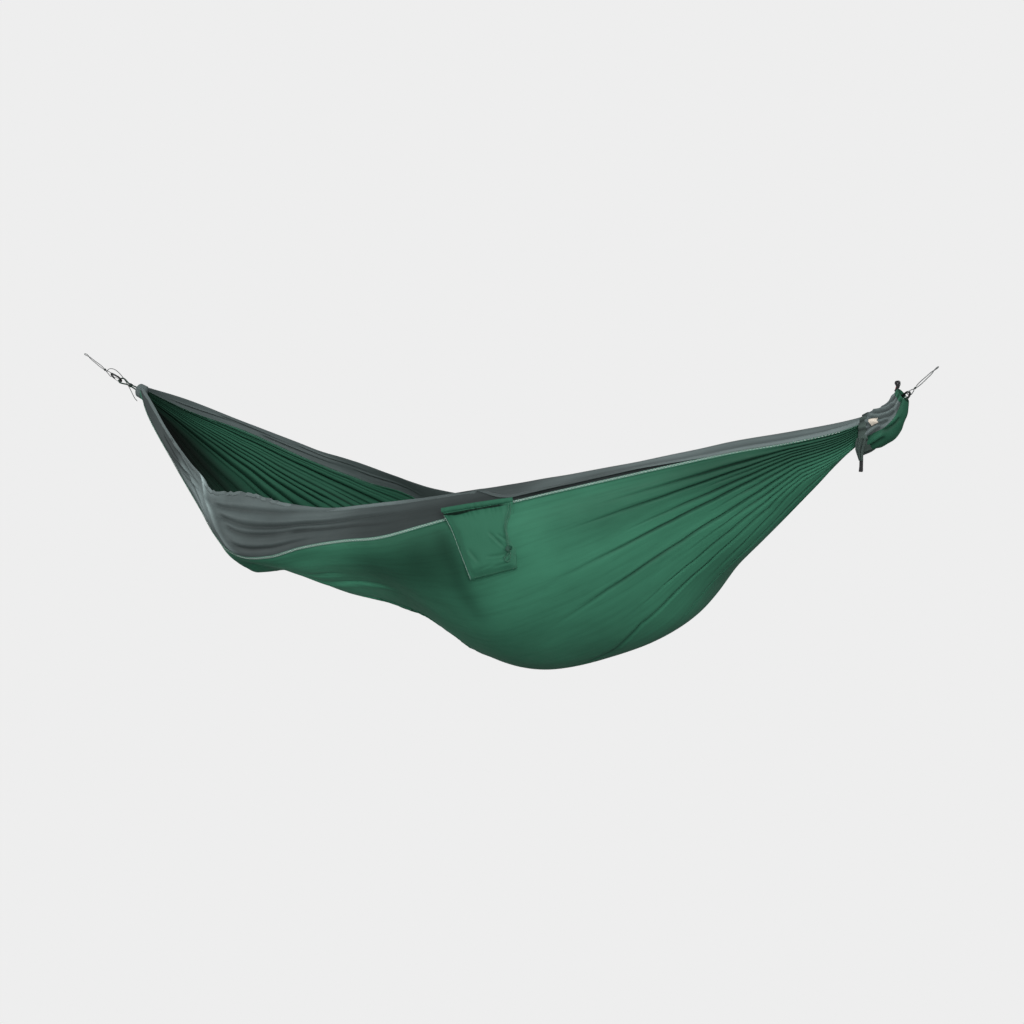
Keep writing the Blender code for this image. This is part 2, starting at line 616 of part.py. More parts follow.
def build_cord_lock(hinge):
    """A barrel lock: the cord runs through its cross hole and through the plunger's slot."""
    frame = empty("cord_lock", hinge, Matrix.Translation((LOCK_ALONG, -0.0290, LOCK_DROP)))
    barrel = cylinder_mesh("cord_lock_body", LOCK_RADIUS, 0.0198, 20, "Y")
    body = add("cord_lock_body", barrel, "green_plastic", frame, (0, -0.0001, 0))
    cut(body, "lock_bore_cutter", cylinder_mesh("lock_bore", 0.0052, 0.0300, 20, "Y"),
        (0, -0.0067, 0))
    cut(body, "lock_hole_cutter", cylinder_mesh("lock_hole", 0.0032, 0.0300, 16, "Z"), (0, 0, 0))

    push = empty("lock_button_frame", frame, Matrix.Identity(4))
    plunger = cylinder_mesh("cord_lock_button", 0.0048, 0.0187, 18, "Y")
    button = add("cord_lock_button", plunger, "green_plastic", push, (0, -0.00465, 0))
    cut(button, "button_slot_cutter", box_mesh("button_slot", (0.0064, 0.0092, 0.03)),
        (0, -0.0015, 0))


# Assembly -------------------------------------------------------------------------------------

def main():
    global parts, cutters
    for old in list(bpy.data.objects):
        bpy.data.objects.remove(old)
    parts = bpy.data.collections.new("camping_hammock")
    cutters = bpy.data.collections.new("cutters")
    for collection in (parts, cutters):
        bpy.context.scene.collection.children.link(collection)

    rig = empty("hook_line_centre", None, Matrix.Translation(-LEFT_EYE))
    build_bed(rig)
    build_anchor_rope("left", LEFT_HOOK, LEFT_EYE, LEFT_KNOT_REACH, rig)
    build_anchor_rope("right", RIGHT_HOOK, RIGHT_EYE, RIGHT_KNOT_REACH, rig)
    build_end("left", LEFT_HOOK, LEFT_TILT, LEFT_SEIZING_REACH, LEFT_CHANNEL_REACH, rig)
    right_chain = build_end("right", RIGHT_HOOK, RIGHT_TILT, RIGHT_SEIZING_REACH,
                            RIGHT_CHANNEL_REACH, rig)
    build_guide_cord(rig)
    build_sack(right_chain)
    build_tail(rig)
    build_pocket(rig)


main()
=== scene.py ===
"""The camping hammock's looks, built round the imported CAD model.

Everything is in metres in the model's own frame: the origin is the left anchor rope's eye, +X runs
to the right anchor, +Z is up and -Y is the near side.  Shapes are laid out from the hook line, the
level line through the two clips' nose bars, as the CAD's are.
"""
import math

import bmesh
import bpy
import numpy as np
from mathutils import Matrix, Vector


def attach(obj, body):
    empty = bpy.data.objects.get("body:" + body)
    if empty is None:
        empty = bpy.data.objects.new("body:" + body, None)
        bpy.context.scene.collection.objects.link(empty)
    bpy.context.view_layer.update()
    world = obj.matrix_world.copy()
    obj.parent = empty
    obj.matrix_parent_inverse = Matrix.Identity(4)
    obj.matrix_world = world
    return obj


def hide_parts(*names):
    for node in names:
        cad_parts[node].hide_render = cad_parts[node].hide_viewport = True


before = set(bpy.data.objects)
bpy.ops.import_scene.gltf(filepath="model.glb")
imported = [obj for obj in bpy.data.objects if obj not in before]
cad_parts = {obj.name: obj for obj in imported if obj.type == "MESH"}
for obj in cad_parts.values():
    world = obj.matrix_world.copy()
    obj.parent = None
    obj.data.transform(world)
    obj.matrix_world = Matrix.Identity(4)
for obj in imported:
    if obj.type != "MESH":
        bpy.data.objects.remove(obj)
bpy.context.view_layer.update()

HOOK_LINE = Vector((1.540, 0.0, -0.070))        # hook coordinates to the model's frame
LEFT_HOOK = Vector((-1.420, 0.0, 0.0))
RIGHT_HOOK = Vector((1.394, 0.0, 0.0))
LEFT_EYE = Vector((-1.540, 0.0, 0.070))
RIGHT_EYE = Vector((1.470, 0.0, 0.070))
LEFT_TILT = math.radians(21.5)
RIGHT_TILT = math.radians(39.0)
CARABINER_ROLL = math.radians(45.0)
LEFT_CHANNEL_REACH = 0.122
RIGHT_CHANNEL_REACH = 0.088
CHANNEL_LENGTH = 0.0285
TIP_REACH = CHANNEL_LENGTH - 0.003              # where the cloth starts, from the sleeve's near end

# The cloth's lengthwise lines, from left to right, each row across from the near rim to the far
BED_ROWS = [
    [(-1.197, -.058, -.074), (-1.183, -.090, -.115), (-1.149, -.075, -.154), (-1.138, -.020, -.190),
     (-1.150, .070, -.170), (-1.168, .085, -.114), (-1.180, .070, -.072)],
    [(-1.046, -.148, -.164), (-.986, -.190, -.262), (-.937, -.170, -.309), (-.949, -.060, -.350),
     (-.960, .150, -.300), (-.981, .170, -.185), (-1.002, .170, -.150)],
    [(-.853, -.261, -.255), (-.759, -.326, -.389), (-.740, -.256, -.435), (-.759, -.102, -.479),
     (-.777, .232, -.417), (-.807, .264, -.273), (-.832, .248, -.219)],
    [(-.741, -.321, -.302), (-.642, -.391, -.463), (-.633, -.290, -.472), (-.647, -.113, -.454),
     (-.674, .275, -.411), (-.709, .314, -.317), (-.738, .285, -.255)],
    [(-.698, -.345, -.329), (-.580, -.415, -.497), (-.570, -.300, -.576), (-.590, -.110, -.548),
     (-.620, .295, -.479), (-.660, .335, -.335), (-.692, .300, -.267)],
    [(-.643, -.363, -.331), (-.521, -.426, -.512), (-.531, -.303, -.560), (-.552, -.104, -.549),
     (-.578, .309, -.489), (-.613, .352, -.353), (-.640, .313, -.281)],
    [(-.515, -.396, -.325), (-.399, -.446, -.505), (-.437, -.302, -.565), (-.461, -.078, -.597),
     (-.478, .342, -.541), (-.505, .385, -.380), (-.528, .337, -.316)],
    [(-.349, -.425, -.344), (-.261, -.465, -.467), (-.300, -.300, -.590), (-.330, -.040, -.660),
     (-.330, .380, -.608), (-.340, .420, -.455), (-.360, .362, -.362)],
    [(-.162, -.432, -.348), (-.095, -.477, -.435), (-.150, -.314, -.582), (-.185, -.015, -.687),
     (-.177, .405, -.629), (-.182, .444, -.490), (-.201, .381, -.383)],
    [(-.060, -.425, -.334), (.020, -.478, -.420), (.000, -.330, -.596), (-.040, .000, -.729),
     (-.020, .420, -.650), (-.020, .455, -.510), (-.040, .390, -.390)],
    [(.091, -.408, -.313), (.161, -.465, -.380), (.141, -.344, -.644), (.105, .002, -.810),
     (.125, .425, -.688), (.126, .453, -.512), (.106, .387, -.385)],
    [(.240, -.380, -.287), (.300, -.440, -.338), (.280, -.350, -.669), (.250, .000, -.841),
     (.270, .420, -.695), (.270, .440, -.500), (.250, .375, -.370)],
    [(.442, -.319, -.249), (.492, -.379, -.285), (.492, -.320, -.597), (.491, .000, -.788),
     (.489, .391, -.636), (.481, .400, -.449), (.459, .338, -.329)],
    [(.640, -.245, -.208), (.680, -.300, -.236), (.690, -.262, -.488), (.715, .000, -.672),
     (.690, .335, -.539), (.680, .335, -.375), (.660, .280, -.275)],
    [(.800, -.180, -.171), (.831, -.232, -.197), (.828, -.203, -.391), (.842, .000, -.529),
     (.829, .259, -.423), (.822, .261, -.307), (.807, .218, -.229)],
    [(.960, -.115, -.133), (.980, -.160, -.160), (.960, -.140, -.320), (.960, .000, -.423),
     (.960, .175, -.326), (.960, .180, -.235), (.950, .150, -.180)],
    [(1.102, -.058, -.105), (1.113, -.086, -.133), (1.101, -.077, -.243), (1.100, .000, -.284),
     (1.099, .089, -.230), (1.101, .092, -.169), (1.095, .070, -.128)],
    [(1.246, -.014, -.072), (1.246, -.026, -.094), (1.243, -.026, -.154), (1.240, .000, -.150),
     (1.243, .024, -.131), (1.246, .024, -.098), (1.246, .012, -.074)],
]
TIP_ANGLES = [150, 105, 52, 0, -52, -105, -150]
TIP_HALF_WIDTH = 0.013
TIP_HALF_HEIGHT = 0.021
NEAR_SEAM, FAR_SEAM, FAR_RIM = 1.0, 5.0, 6.0
CLOTH = 0.0006                                  # thickness of one shown layer
CLOTH_LENGTH = 3.08


# Mesh helpers --------------------

MATERIALS = {}                                  # name: (material, the record's slot)


def unit(vectors):
    """The vectors, each brought to length one."""
    return vectors / np.maximum(np.linalg.norm(vectors, axis=-1, keepdims=True), 1e-12)


def pairs(first, second):
    """Two arrays that broadcast together, as the last axis of one."""
    return np.stack(np.broadcast_arrays(first, second), axis=-1)


def ease(x, low, high):
    """0 below low, 1 above high, and a smooth rise between."""
    x = np.clip((np.asarray(x, float) - low) / (high - low), 0, 1)
    return x * x * (3 - 2 * x)


def fall(x, low, high):
    """1 below low, 0 above high, and a smooth fall between."""
    return ease(-np.asarray(x, float), -high, -low)


def within(x, start, full, fade, stop):
    """A smooth rise from start to full and a smooth fall from fade to stop."""
    return ease(x, start, full) * fall(x, fade, stop)


def bump(x, centre, width):
    return np.exp(-((np.asarray(x, float) - centre) / width) ** 2)


def pressed(away, crest, crest_place):
    """Cross-section of a pressed fold: a sharp valley at 0 with a soft crest beside it."""
    return crest * bump(away, crest_place, 1) - np.exp(-np.abs(away) ** 1.5)


def toned(tone, *steps):
    """A tone made lighter or darker by (amount, weight, weight...) steps."""
    for amount, *weights in steps:
        tone = tone * (1 + amount * math.prod(weights))
    return tone


def soft_noise(x, y, seed, octaves=3):
    """Smooth seeded noise, about -1 to 1, as a sum of sines in many directions."""
    random = np.random.default_rng(seed)
    total = np.zeros(np.broadcast(x, y).shape)
    for octave in range(octaves):
        for _ in range(6):
            angle = random.uniform(0, 2 * math.pi)
            size = 2 ** octave * random.uniform(0.7, 1.3)
            total += np.sin(size * (x * math.cos(angle) + y * math.sin(angle))
                            + random.uniform(0, 2 * math.pi)) / 2 ** octave
    return total / 6


def dress(mesh, uvs, shade):
    """Give a mesh the cloth's UVs and its painted light and shade, one value each for every point.
    """
    if uvs is not None:
        corners = np.empty(len(mesh.loops), np.int32)
        mesh.loops.foreach_get("vertex_index", corners)
        layer = mesh.uv_layers.new(name="cloth")
        layer.data.foreach_set("uv", np.asarray(uvs, np.float32)[corners].ravel())
    tone = mesh.attributes.new("shade", "FLOAT", "POINT")
    shade = np.ones(len(mesh.vertices)) if shade is None else shade
    tone.data.foreach_set("value", np.asarray(shade, np.float32))


def quad_mesh(name, points, quads, uvs=None, shade=None):
    """A smooth mesh from arrays of points and of quads."""
    points = np.asarray(points, np.float32).reshape(-1, 3)
    mesh = bpy.data.meshes.new(name)
    mesh.vertices.add(len(points))
    mesh.vertices.foreach_set("co", points.ravel())
    mesh.loops.add(quads.size)
    mesh.loops.foreach_set("vertex_index", quads.astype(np.int32).ravel())
    mesh.polygons.add(len(quads))
    mesh.polygons.foreach_set("loop_start", np.arange(0, quads.size, 4, dtype=np.int32))
    mesh.update(calc_edges=True)
    dress(mesh, uvs, shade)
    mesh.validate()
    mesh.shade_smooth()
    return mesh


def grid_quads(rows, columns, start=0, wrap=False):
    """Quads of a grid of points; with wrap, the last column joins the first."""
    i, j = np.meshgrid(np.arange(rows - 1), np.arange(columns - (0 if wrap else 1)), indexing="ij")
    k = (j + 1) % columns
    return start + np.stack([i * columns + j, i * columns + k, (i + 1) * columns + k,
                             (i + 1) * columns + j], axis=-1).reshape(-1, 4)


def grid_normals(points, wrap=False):
    """Unit normals of a grid of points, as the cross product of across and along."""
    if wrap:
        across = np.roll(points, -1, axis=1) - np.roll(points, 1, axis=1)
    else:
        across = np.gradient(points, axis=1)
    return unit(np.cross(across, np.gradient(points, axis=0)))


def add(name, data, material, body, *nodes):
    """Put a piece on its body, with its material, in place of the CAD nodes it stands for."""
    made = bpy.data.objects.new(name, data)
    data.materials.append(MATERIALS[material][0])
    bpy.context.scene.collection.objects.link(made)
    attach(made, body)
    if nodes:
        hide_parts(*nodes)
    return made


def shell(name, points, uvs, thickness, material, body, *nodes, wrap=False, inner=None,
          shade=None):
    """A closed sheet of cloth from a grid of points, half its thickness to each side.

    Inner is the material of its inside, and shade, the painted light and shade, holds one array for
    the outside and one for the inside.
    """
    rows, columns = points.shape[:2]
    reach = grid_normals(points, wrap) * thickness / 2
    count = rows * columns
    outside = grid_quads(rows, columns, 0, wrap)
    inside = grid_quads(rows, columns, count, wrap)[:, ::-1]
    index = np.arange(count).reshape(rows, columns)
    rims = [index[0], index[-1, ::-1]] + ([] if wrap else [index[::-1, 0], index[:, -1]])
    quads = [outside, inside]
    for line in rims:
        before, after = (line, np.roll(line, -1)) if wrap else (line[:-1], line[1:])
        quads.append(np.stack([before, before + count, after + count, after], axis=-1))
    if shade is not None:
        shade = np.concatenate([tone.ravel() for tone in shade])
    mesh = quad_mesh(name, np.concatenate([points + reach, points - reach]), np.concatenate(quads),
                     np.concatenate([uvs.reshape(-1, 2)] * 2), shade)
    piece = add(name, mesh, material, body, *nodes)
    if inner is not None:
        mesh.materials.append(MATERIALS[inner][0])
        which = np.zeros(len(mesh.polygons), np.int32)
        which[len(outside):len(outside) + len(inside)] = 1
        mesh.polygons.foreach_set("material_index", which)
    return piece


def refinish(material, *nodes):
    """Give carried-over CAD nodes their finished material."""
    for node in nodes:
        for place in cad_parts[node].material_slots:
            place.material = MATERIALS[material][0]


def hermite(points, t):
    """A smooth curve through points (n, ..., 3), read at parameters t that count them from 0."""
    points = np.asarray(points, float)
    steps = np.diff(points, axis=0)
    chords = np.maximum(np.linalg.norm(steps, axis=-1, keepdims=True), 1e-9)
    back, ahead = chords[:-1], chords[1:]
    inner = (steps[:-1] * ahead / back + steps[1:] * back / ahead) / (back + ahead)
    start = np.concatenate([steps[:1] / chords[:1], inner])
    end = np.concatenate([inner, steps[-1:] / chords[-1:]])
    t = np.clip(np.asarray(t, float), 0, len(points) - 1)
    i = np.minimum(t.astype(int), len(points) - 2)
    f = (t - i).reshape(t.shape + (1,) * (points.ndim - 1))
    return (points[i] * (2 * f ** 3 - 3 * f ** 2 + 1)
            + start[i] * chords[i] * (f ** 3 - 2 * f ** 2 + f)
            + points[i + 1] * (3 * f ** 2 - 2 * f ** 3)
            + end[i] * chords[i] * (f ** 3 - f ** 2))


def run_along(points):
    """Each point's distance along its line."""
    return np.concatenate([[0], np.cumsum(np.linalg.norm(np.diff(points, axis=0), axis=1))])


def read_at(at, run, points):
    """The points of a line at given distances along it."""
    return np.stack([np.interp(at, run, points[:, k]) for k in range(3)], axis=1)


def evenly(points, count):
    """Points at equal distances on the smooth curve through a list of points."""
    fine = hermite(points, np.linspace(0, len(points) - 1, 60 * len(points)))
    run = run_along(fine)
    return read_at(np.linspace(0, run[-1], count), run, fine)


# Materials --------------------

def new_node(tree, kind, settings=None, **inputs):
    """A node with its settings; an input is called by its name, or by i and its number."""
    made = tree.nodes.new(kind)
    for key, value in (settings or {}).items():
        setattr(made, key, value)
    for key, value in inputs.items():
        socket = made.inputs[int(key[1:]) if key.startswith("i") else key]
        if isinstance(value, bpy.types.NodeSocket):
            tree.links.new(value, socket)
        else:
            socket.default_value = value
    return made


class Shader:
    """A material's node tree, with short calls to add to it."""

    def __init__(self, name, slot_name, roughness, metallic=0.0, specular=0.4, sheen=0.0):
        material = bpy.data.materials.new(name)
        MATERIALS[name] = (material, slot_name)
        material.use_nodes = True
        self.tree = material.node_tree
        self.inputs = self.tree.nodes["Principled BSDF"].inputs
        for socket, value in (("Metallic", metallic), ("Specular IOR Level", specular),
                              ("Roughness", roughness), ("Sheen Weight", sheen),
                              ("Sheen Roughness", 0.4)):
            self.inputs[socket].default_value = value
        self.height = None

    def node(self, kind, settings=None, **inputs):
        return new_node(self.tree, kind, settings, **inputs)

    def coordinates(self, kind, scale=(1.0, 1.0, 1.0)):
        source = self.node("ShaderNodeTexCoord").outputs[kind]
        return self.node("ShaderNodeMapping", i0=source, i3=scale).outputs[0]

    def noise(self, vector, scale=1.0, detail=3.0, roughness=0.5):
        return self.node("ShaderNodeTexNoise", Vector=vector, Scale=scale, Detail=detail,
                         Roughness=roughness).outputs["Fac"]

    def wave(self, vector, direction, scale=1.0, distortion=0.0):
        return self.node("ShaderNodeTexWave", {"bands_direction": direction}, Vector=vector,
                         Scale=scale, Distortion=distortion).outputs["Fac"]

    def ramp(self, factor, *stops):
        """A colour ramp; a stop's colour may be one number for a grey."""
        made = self.node("ShaderNodeValToRGB", Fac=factor)
        band = made.color_ramp
        while len(band.elements) < len(stops):
            band.elements.new(0.5)
        for element, (place, colour) in zip(band.elements, stops):
            element.position = place
            element.color = (*(colour if isinstance(colour, tuple) else (colour,) * 3), 1.0)
        return made.outputs["Color"]

    def times(self, first, second):
        made = self.node("ShaderNodeMath", {"operation": "MULTIPLY"}, i0=first, i1=second)
        return made.outputs[0]

    def multiply(self, share, first, second):
        """First multiplied by second, to a share."""
        return self.node("ShaderNodeMix", {"data_type": "RGBA", "blend_type": "MULTIPLY"},
                         i0=share, i6=first, i7=second).outputs[2]

    def colour(self, value):
        self.tree.links.new(value, self.inputs["Base Color"])

    def vary_roughness(self, factor, low, high):
        ranged = self.node("ShaderNodeMapRange", i0=factor, i1=0.3, i2=0.7, i3=low, i4=high)
        self.tree.links.new(ranged.outputs[0], self.inputs["Roughness"])

    def bump(self, height, distance, strength):
        made = self.node("ShaderNodeBump", Height=height, Distance=distance, Strength=strength)
        if self.height is not None:
            self.tree.links.new(self.height, made.inputs["Normal"])
        self.height = made.outputs["Normal"]
        self.tree.links.new(self.height, self.inputs["Normal"])


def tint(colour, factor):
    return tuple(channel * factor for channel in colour)


def cloth_shader(name, slot_name, colour, streaks=1.0, roughness=0.58):
    """Thin plain-woven nylon: UVs are metres along and across the cloth."""
    made = Shader(name, slot_name, roughness, specular=0.08)
    patches = made.noise(made.coordinates("UV", (5.0, 7.0, 1.0)))
    streak = made.noise(made.coordinates("UV", (4.5, 70.0, 1.0)), detail=4.0, roughness=0.6)
    crumple = made.noise(made.coordinates("UV", (26.0, 46.0, 1.0)), roughness=0.55)
    threads = made.coordinates("UV", (500.0, 500.0, 1.0))
    base = made.ramp(patches, (0.30, tint(colour, 0.88)), (0.70, tint(colour, 1.10)))
    # lines: lighter and darker streaks along the cloth, painted shading of fine tension wrinkles,
    # also a bump below
    lines = made.ramp(streak, (0.30, 0.80), (0.50, 1.0), (0.72, 1.10))
    # the shade attribute is painted light and shade, multiplied into the base colour
    tone = made.node("ShaderNodeAttribute", {"attribute_name": "shade"}).outputs["Fac"]
    made.colour(made.multiply(1.0, made.multiply(0.55 * streaks, base, lines), tone))
    made.vary_roughness(crumple, roughness - 0.07, roughness + 0.07)
    made.bump(made.times(made.wave(threads, "X"), made.wave(threads, "Y")), 0.00004, 0.5)
    made.bump(crumple, 0.0012, 0.35)
    made.bump(streak, 0.0016, 0.55 * streaks)


def cord_shader(name, slot_name, colour, pitch):
    """Braided cord: two sets of slanting strands."""
    made = Shader(name, slot_name, 0.8, specular=0.2, sheen=0.25)
    place = made.coordinates("Object")
    braid = made.times(made.wave(place, "DIAGONAL", pitch, 0.4),
                       made.wave(place, "X", pitch * 1.6, 0.6))
    fuzz = made.noise(place, scale=900.0, detail=2.0)
    strands = made.ramp(braid, (0.0, tint(colour, 0.55)), (0.5, colour), (1.0, tint(colour, 1.35)))
    made.colour(made.multiply(0.35, strands, made.ramp(fuzz, (0.3, 0.7), (0.7, 1.2))))
    made.bump(braid, 0.0003, 0.8)
    made.bump(fuzz, 0.0001, 0.6)


def solid_shader(name, slot_name, colour, roughness, metallic=0.0):
    """Moulded plastic or metal with a fine grain and a little handling wear."""
    made = Shader(name, slot_name, roughness, metallic, 0.5)
    place = made.coordinates("Object")
    fine = made.noise(place, scale=900.0, detail=2.0)
    broad = made.noise(place, scale=120.0, detail=4.0)
    made.colour(made.ramp(broad, (0.30, tint(colour, 0.85)), (0.65, colour),
                          (0.85, tint(colour, 1.30))))
    made.vary_roughness(broad, roughness - 0.06, roughness + 0.08)
    made.bump(fine, 0.00004, 0.5)


def webbing_shader(name, slot_name, colour):
    made = Shader(name, slot_name, 0.75, specular=0.2, sheen=0.2)
    ribs = made.wave(made.coordinates("Object"), "DIAGONAL", 320.0, 0.3)
    made.colour(made.ramp(ribs, (0.0, tint(colour, 0.6)), (1.0, tint(colour, 1.5))))
    made.bump(ribs, 0.0002, 0.9)


GREEN = (0.034, 0.142, 0.086)
GREY = (0.082, 0.104, 0.103)
# depth gives lit and shaded copies of one cloth: inside, pocket and sack copies darker as painted
# shade, the hem copy paler as painted light, the sleeve copy slightly paler
for name, slot_name, colour, depth, streaks in (
        ("green_cloth", "green_nylon", GREEN, 1.0, 1.0),
        ("grey_cloth", "grey_nylon", GREY, 1.0, 0.8),
        ("green_inside", "green_nylon", GREEN, 0.60, 0.35),
        ("grey_inside", "grey_nylon", GREY, 0.95, 0.8),
        ("grey_hem", "grey_nylon", GREY, 1.30, 0.3),
        ("grey_sleeve", "grey_nylon", GREY, 1.10, 0.3),
        ("sack_band_cloth", "grey_nylon", (0.038, 0.054, 0.048), 1.0, 0.4),
        ("pocket_hem_cloth", "green_nylon", GREEN, 0.66, 0.2),
        ("pocket_cloth", "green_nylon", GREEN, 0.78, 0.25),
        ("sack_green_cloth", "green_nylon", GREEN, 0.45, 0.6),
        ("sack_grey_cloth", "grey_nylon", GREY, 0.92, 0.6),
        ("seam_cloth", "pale_stitching", (0.075, 0.165, 0.125), 1.0, 0.3)):
    cloth_shader(name, slot_name, tint(colour, depth), streaks)
cloth_shader("patch_weave", "pale_patch", (0.520, 0.470, 0.400), 0.2, roughness=0.7)
for name, slot_name, colour, pitch in (
        ("pale_thread", "pale_stitching", (0.430, 0.540, 0.490), 900.0),
        ("grey_thread", "grey_nylon", (0.105, 0.125, 0.125), 900.0),
        ("green_thread", "pale_stitching", (0.110, 0.210, 0.165), 900.0),
        ("red_tack", "red_thread", (0.420, 0.060, 0.030), 900.0),
        ("grey_cord", "grey_rope", (0.150, 0.160, 0.160), 500.0),
        ("green_cord", "black_rope", (0.033, 0.138, 0.083), 500.0),
        ("loop_green", "black_rope", (0.008, 0.042, 0.026), 420.0),
        ("black_cord", "black_rope", (0.012, 0.024, 0.020), 420.0)):
    cord_shader(name, slot_name, colour, pitch)
solid_shader("black_bar", "black_metal", (0.014, 0.016, 0.017), 0.34, 0.7)
solid_shader("gate_wire", "steel_wire", (0.200, 0.205, 0.210), 0.30, 1.0)
solid_shader("lock_plastic", "green_plastic", (0.012, 0.060, 0.038), 0.42)
webbing_shader("black_webbing_weave", "black_webbing", (0.012, 0.012, 0.013))


# Frames and tubes --------------------

def frame_matrix(origin, along, roll=0.0):
    """A frame with X along a line in the XZ plane and Z upward, then rolled about X."""
    x_axis = along.normalized()
    z_axis = x_axis.cross(Vector((0, 1, 0)))
    if z_axis.z < 0:
        z_axis.negate()
    turn = Matrix((x_axis, z_axis.cross(x_axis), z_axis)).transposed().to_4x4()
    return Matrix.Translation(origin) @ turn @ Matrix.Rotation(roll, 4, "X")


def placed(matrix, points):
    """Local points (..., 3) in the model's frame."""
    return np.asarray(points, float) @ np.array(matrix.to_3x3()).T + np.array(matrix.translation)


def arc(centre, radius, start, end, count):
    """Points of an arc in the XY plane, its angles in degrees."""
    angles = np.radians(np.linspace(start, end, count))
    offset = np.stack([np.cos(angles), np.sin(angles), np.zeros(count)], axis=1) * radius
    return [tuple(point) for point in np.array(centre) + offset]


def rings_along(path, radius, sides):
    """Rings of points round a path, without twist."""
    path = np.asarray(path, float)
    tangents = unit(np.gradient(path, axis=0))
    normal = np.cross(tangents[0], (0.0, 0.0, 1.0))
    if np.linalg.norm(normal) < 0.2:
        normal = np.cross(tangents[0], (0.0, 1.0, 0.0))
    angles = np.linspace(0, 2 * math.pi, sides, endpoint=False)[:, None]
    rings = []
    for point, tangent in zip(path, tangents):
        normal = unit(normal - tangent * (normal @ tangent))
        other = np.cross(tangent, normal)
        rings.append(point + radius * (np.cos(angles) * normal + np.sin(angles) * other))
    return np.array(rings)


def closed_tube(name, rings, material, body, *nodes, shade=None):
    """A closed skin over rings of points (rows, sides, 3), with fans at its ends.

    Shade, one value a ring, is painted shade that darkens the cloth along it.
    """
    rows, sides = rings.shape[:2]
    centres = rings.mean(axis=1)
    points = np.concatenate([rings.reshape(-1, 3), centres[:1], centres[-1:]])
    faces = grid_quads(rows, sides, 0, True)[:, ::-1].tolist()
    first_end, last_row = rows * sides, (rows - 1) * sides
    for k in range(sides):
        after = (k + 1) % sides
        faces.append((after, k, first_end))
        faces.append((last_row + k, last_row + after, first_end + 1))
    mesh = bpy.data.meshes.new(name)
    mesh.from_pydata(points.tolist(), [], faces)
    shape = bmesh.new()
    shape.from_mesh(mesh)
    bmesh.ops.recalc_face_normals(shape, faces=shape.faces)
    shape.to_mesh(mesh)
    shape.free()
    mesh.shade_smooth()
    run = run_along(centres)
    girth = run_along(rings[rows // 2])[-1] * np.arange(sides) / sides
    uvs = pairs(run[:, None], girth[None, :]).reshape(-1, 2)
    uvs = np.concatenate([uvs, [[0, 0], [run[-1], 0]]])
    if shade is not None:
        shade = np.append(np.repeat(shade, sides), [shade[0], shade[-1]])
    dress(mesh, uvs, shade)
    return add(name, mesh, material, body, *nodes)


def cord_piece(name, path, radius, material, body, *nodes):
    """A round cord as one open spline."""
    curve = bpy.data.curves.new(name, "CURVE")
    curve.dimensions = "3D"
    curve.bevel_depth = radius
    curve.bevel_resolution = 4
    curve.use_fill_caps = True
    spline = curve.splines.new("POLY")
    spline.points.add(len(path) - 1)
    for place, point in zip(spline.points, path):
        place.co = (*point, 1.0)
    spline.use_smooth = True
    return add(name, curve, material, body, *nodes)


# The bed's cloth --------------------

def tip_row(hook, along, reach):
    """The cloth's gathered end: seven places round the sleeve, from the near rim to the far."""
    up = Vector((0, 1, 0)).cross(along)
    if up.z < 0:
        up.negate()
    row = []
    for degrees in TIP_ANGLES:
        angle = math.radians(degrees)
        row.append(hook + along * reach - Vector((0, TIP_HALF_WIDTH * math.sin(angle), 0))
                   - up * TIP_HALF_HEIGHT * math.cos(angle))
    return row


def bed_lines(samples):
    """The seven lengthwise lines, each at equal shares of its own length: (samples, 7, 3)."""
    left_along = Vector((math.cos(LEFT_TILT), 0, -math.sin(LEFT_TILT)))
    right_along = Vector((-math.cos(RIGHT_TILT), 0, -math.sin(RIGHT_TILT)))
    rows = [tip_row(LEFT_HOOK, left_along, LEFT_CHANNEL_REACH + TIP_REACH), *BED_ROWS,
            tip_row(RIGHT_HOOK, right_along, RIGHT_CHANNEL_REACH + TIP_REACH)]
    rows = np.array([[tuple(point) for point in row] for row in rows])
    count = 4 * len(samples)
    lines = [evenly(rows[:, k], count) for k in range(rows.shape[1])]
    return np.stack([read_at(samples * (count - 1), np.arange(count), line) for line in lines],
                    axis=1) + np.array(HOOK_LINE)


ALONG = 228                                     # rows of every bed piece, less one
shares = np.linspace(0, 1, ALONG + 1)
shares = shares - 0.035 * np.sin(2 * math.pi * shares)   # rows lie closer near the ends
lines = bed_lines(shares)
run_metres = shares[:, None] * CLOTH_LENGTH


def smooth_surface(t):
    """Points of the unpleated cloth at t, an array (rows, columns) of places across it."""
    return np.stack([hermite(line, row) for line, row in zip(lines, t)])


def across_all(t):
    """One set of places across the cloth, the same for every row."""
    return np.repeat(np.asarray(t, float)[None, :], len(shares), axis=0)


CENTRE_CUT = 1.38
FOLD_COLUMNS = [-0.5, -0.24, -0.10, -0.025, 0.025, 0.10, 0.24]
PLEAT_COLUMNS = [-0.5, -0.26, -0.10, 0.0, 0.10, 0.26]


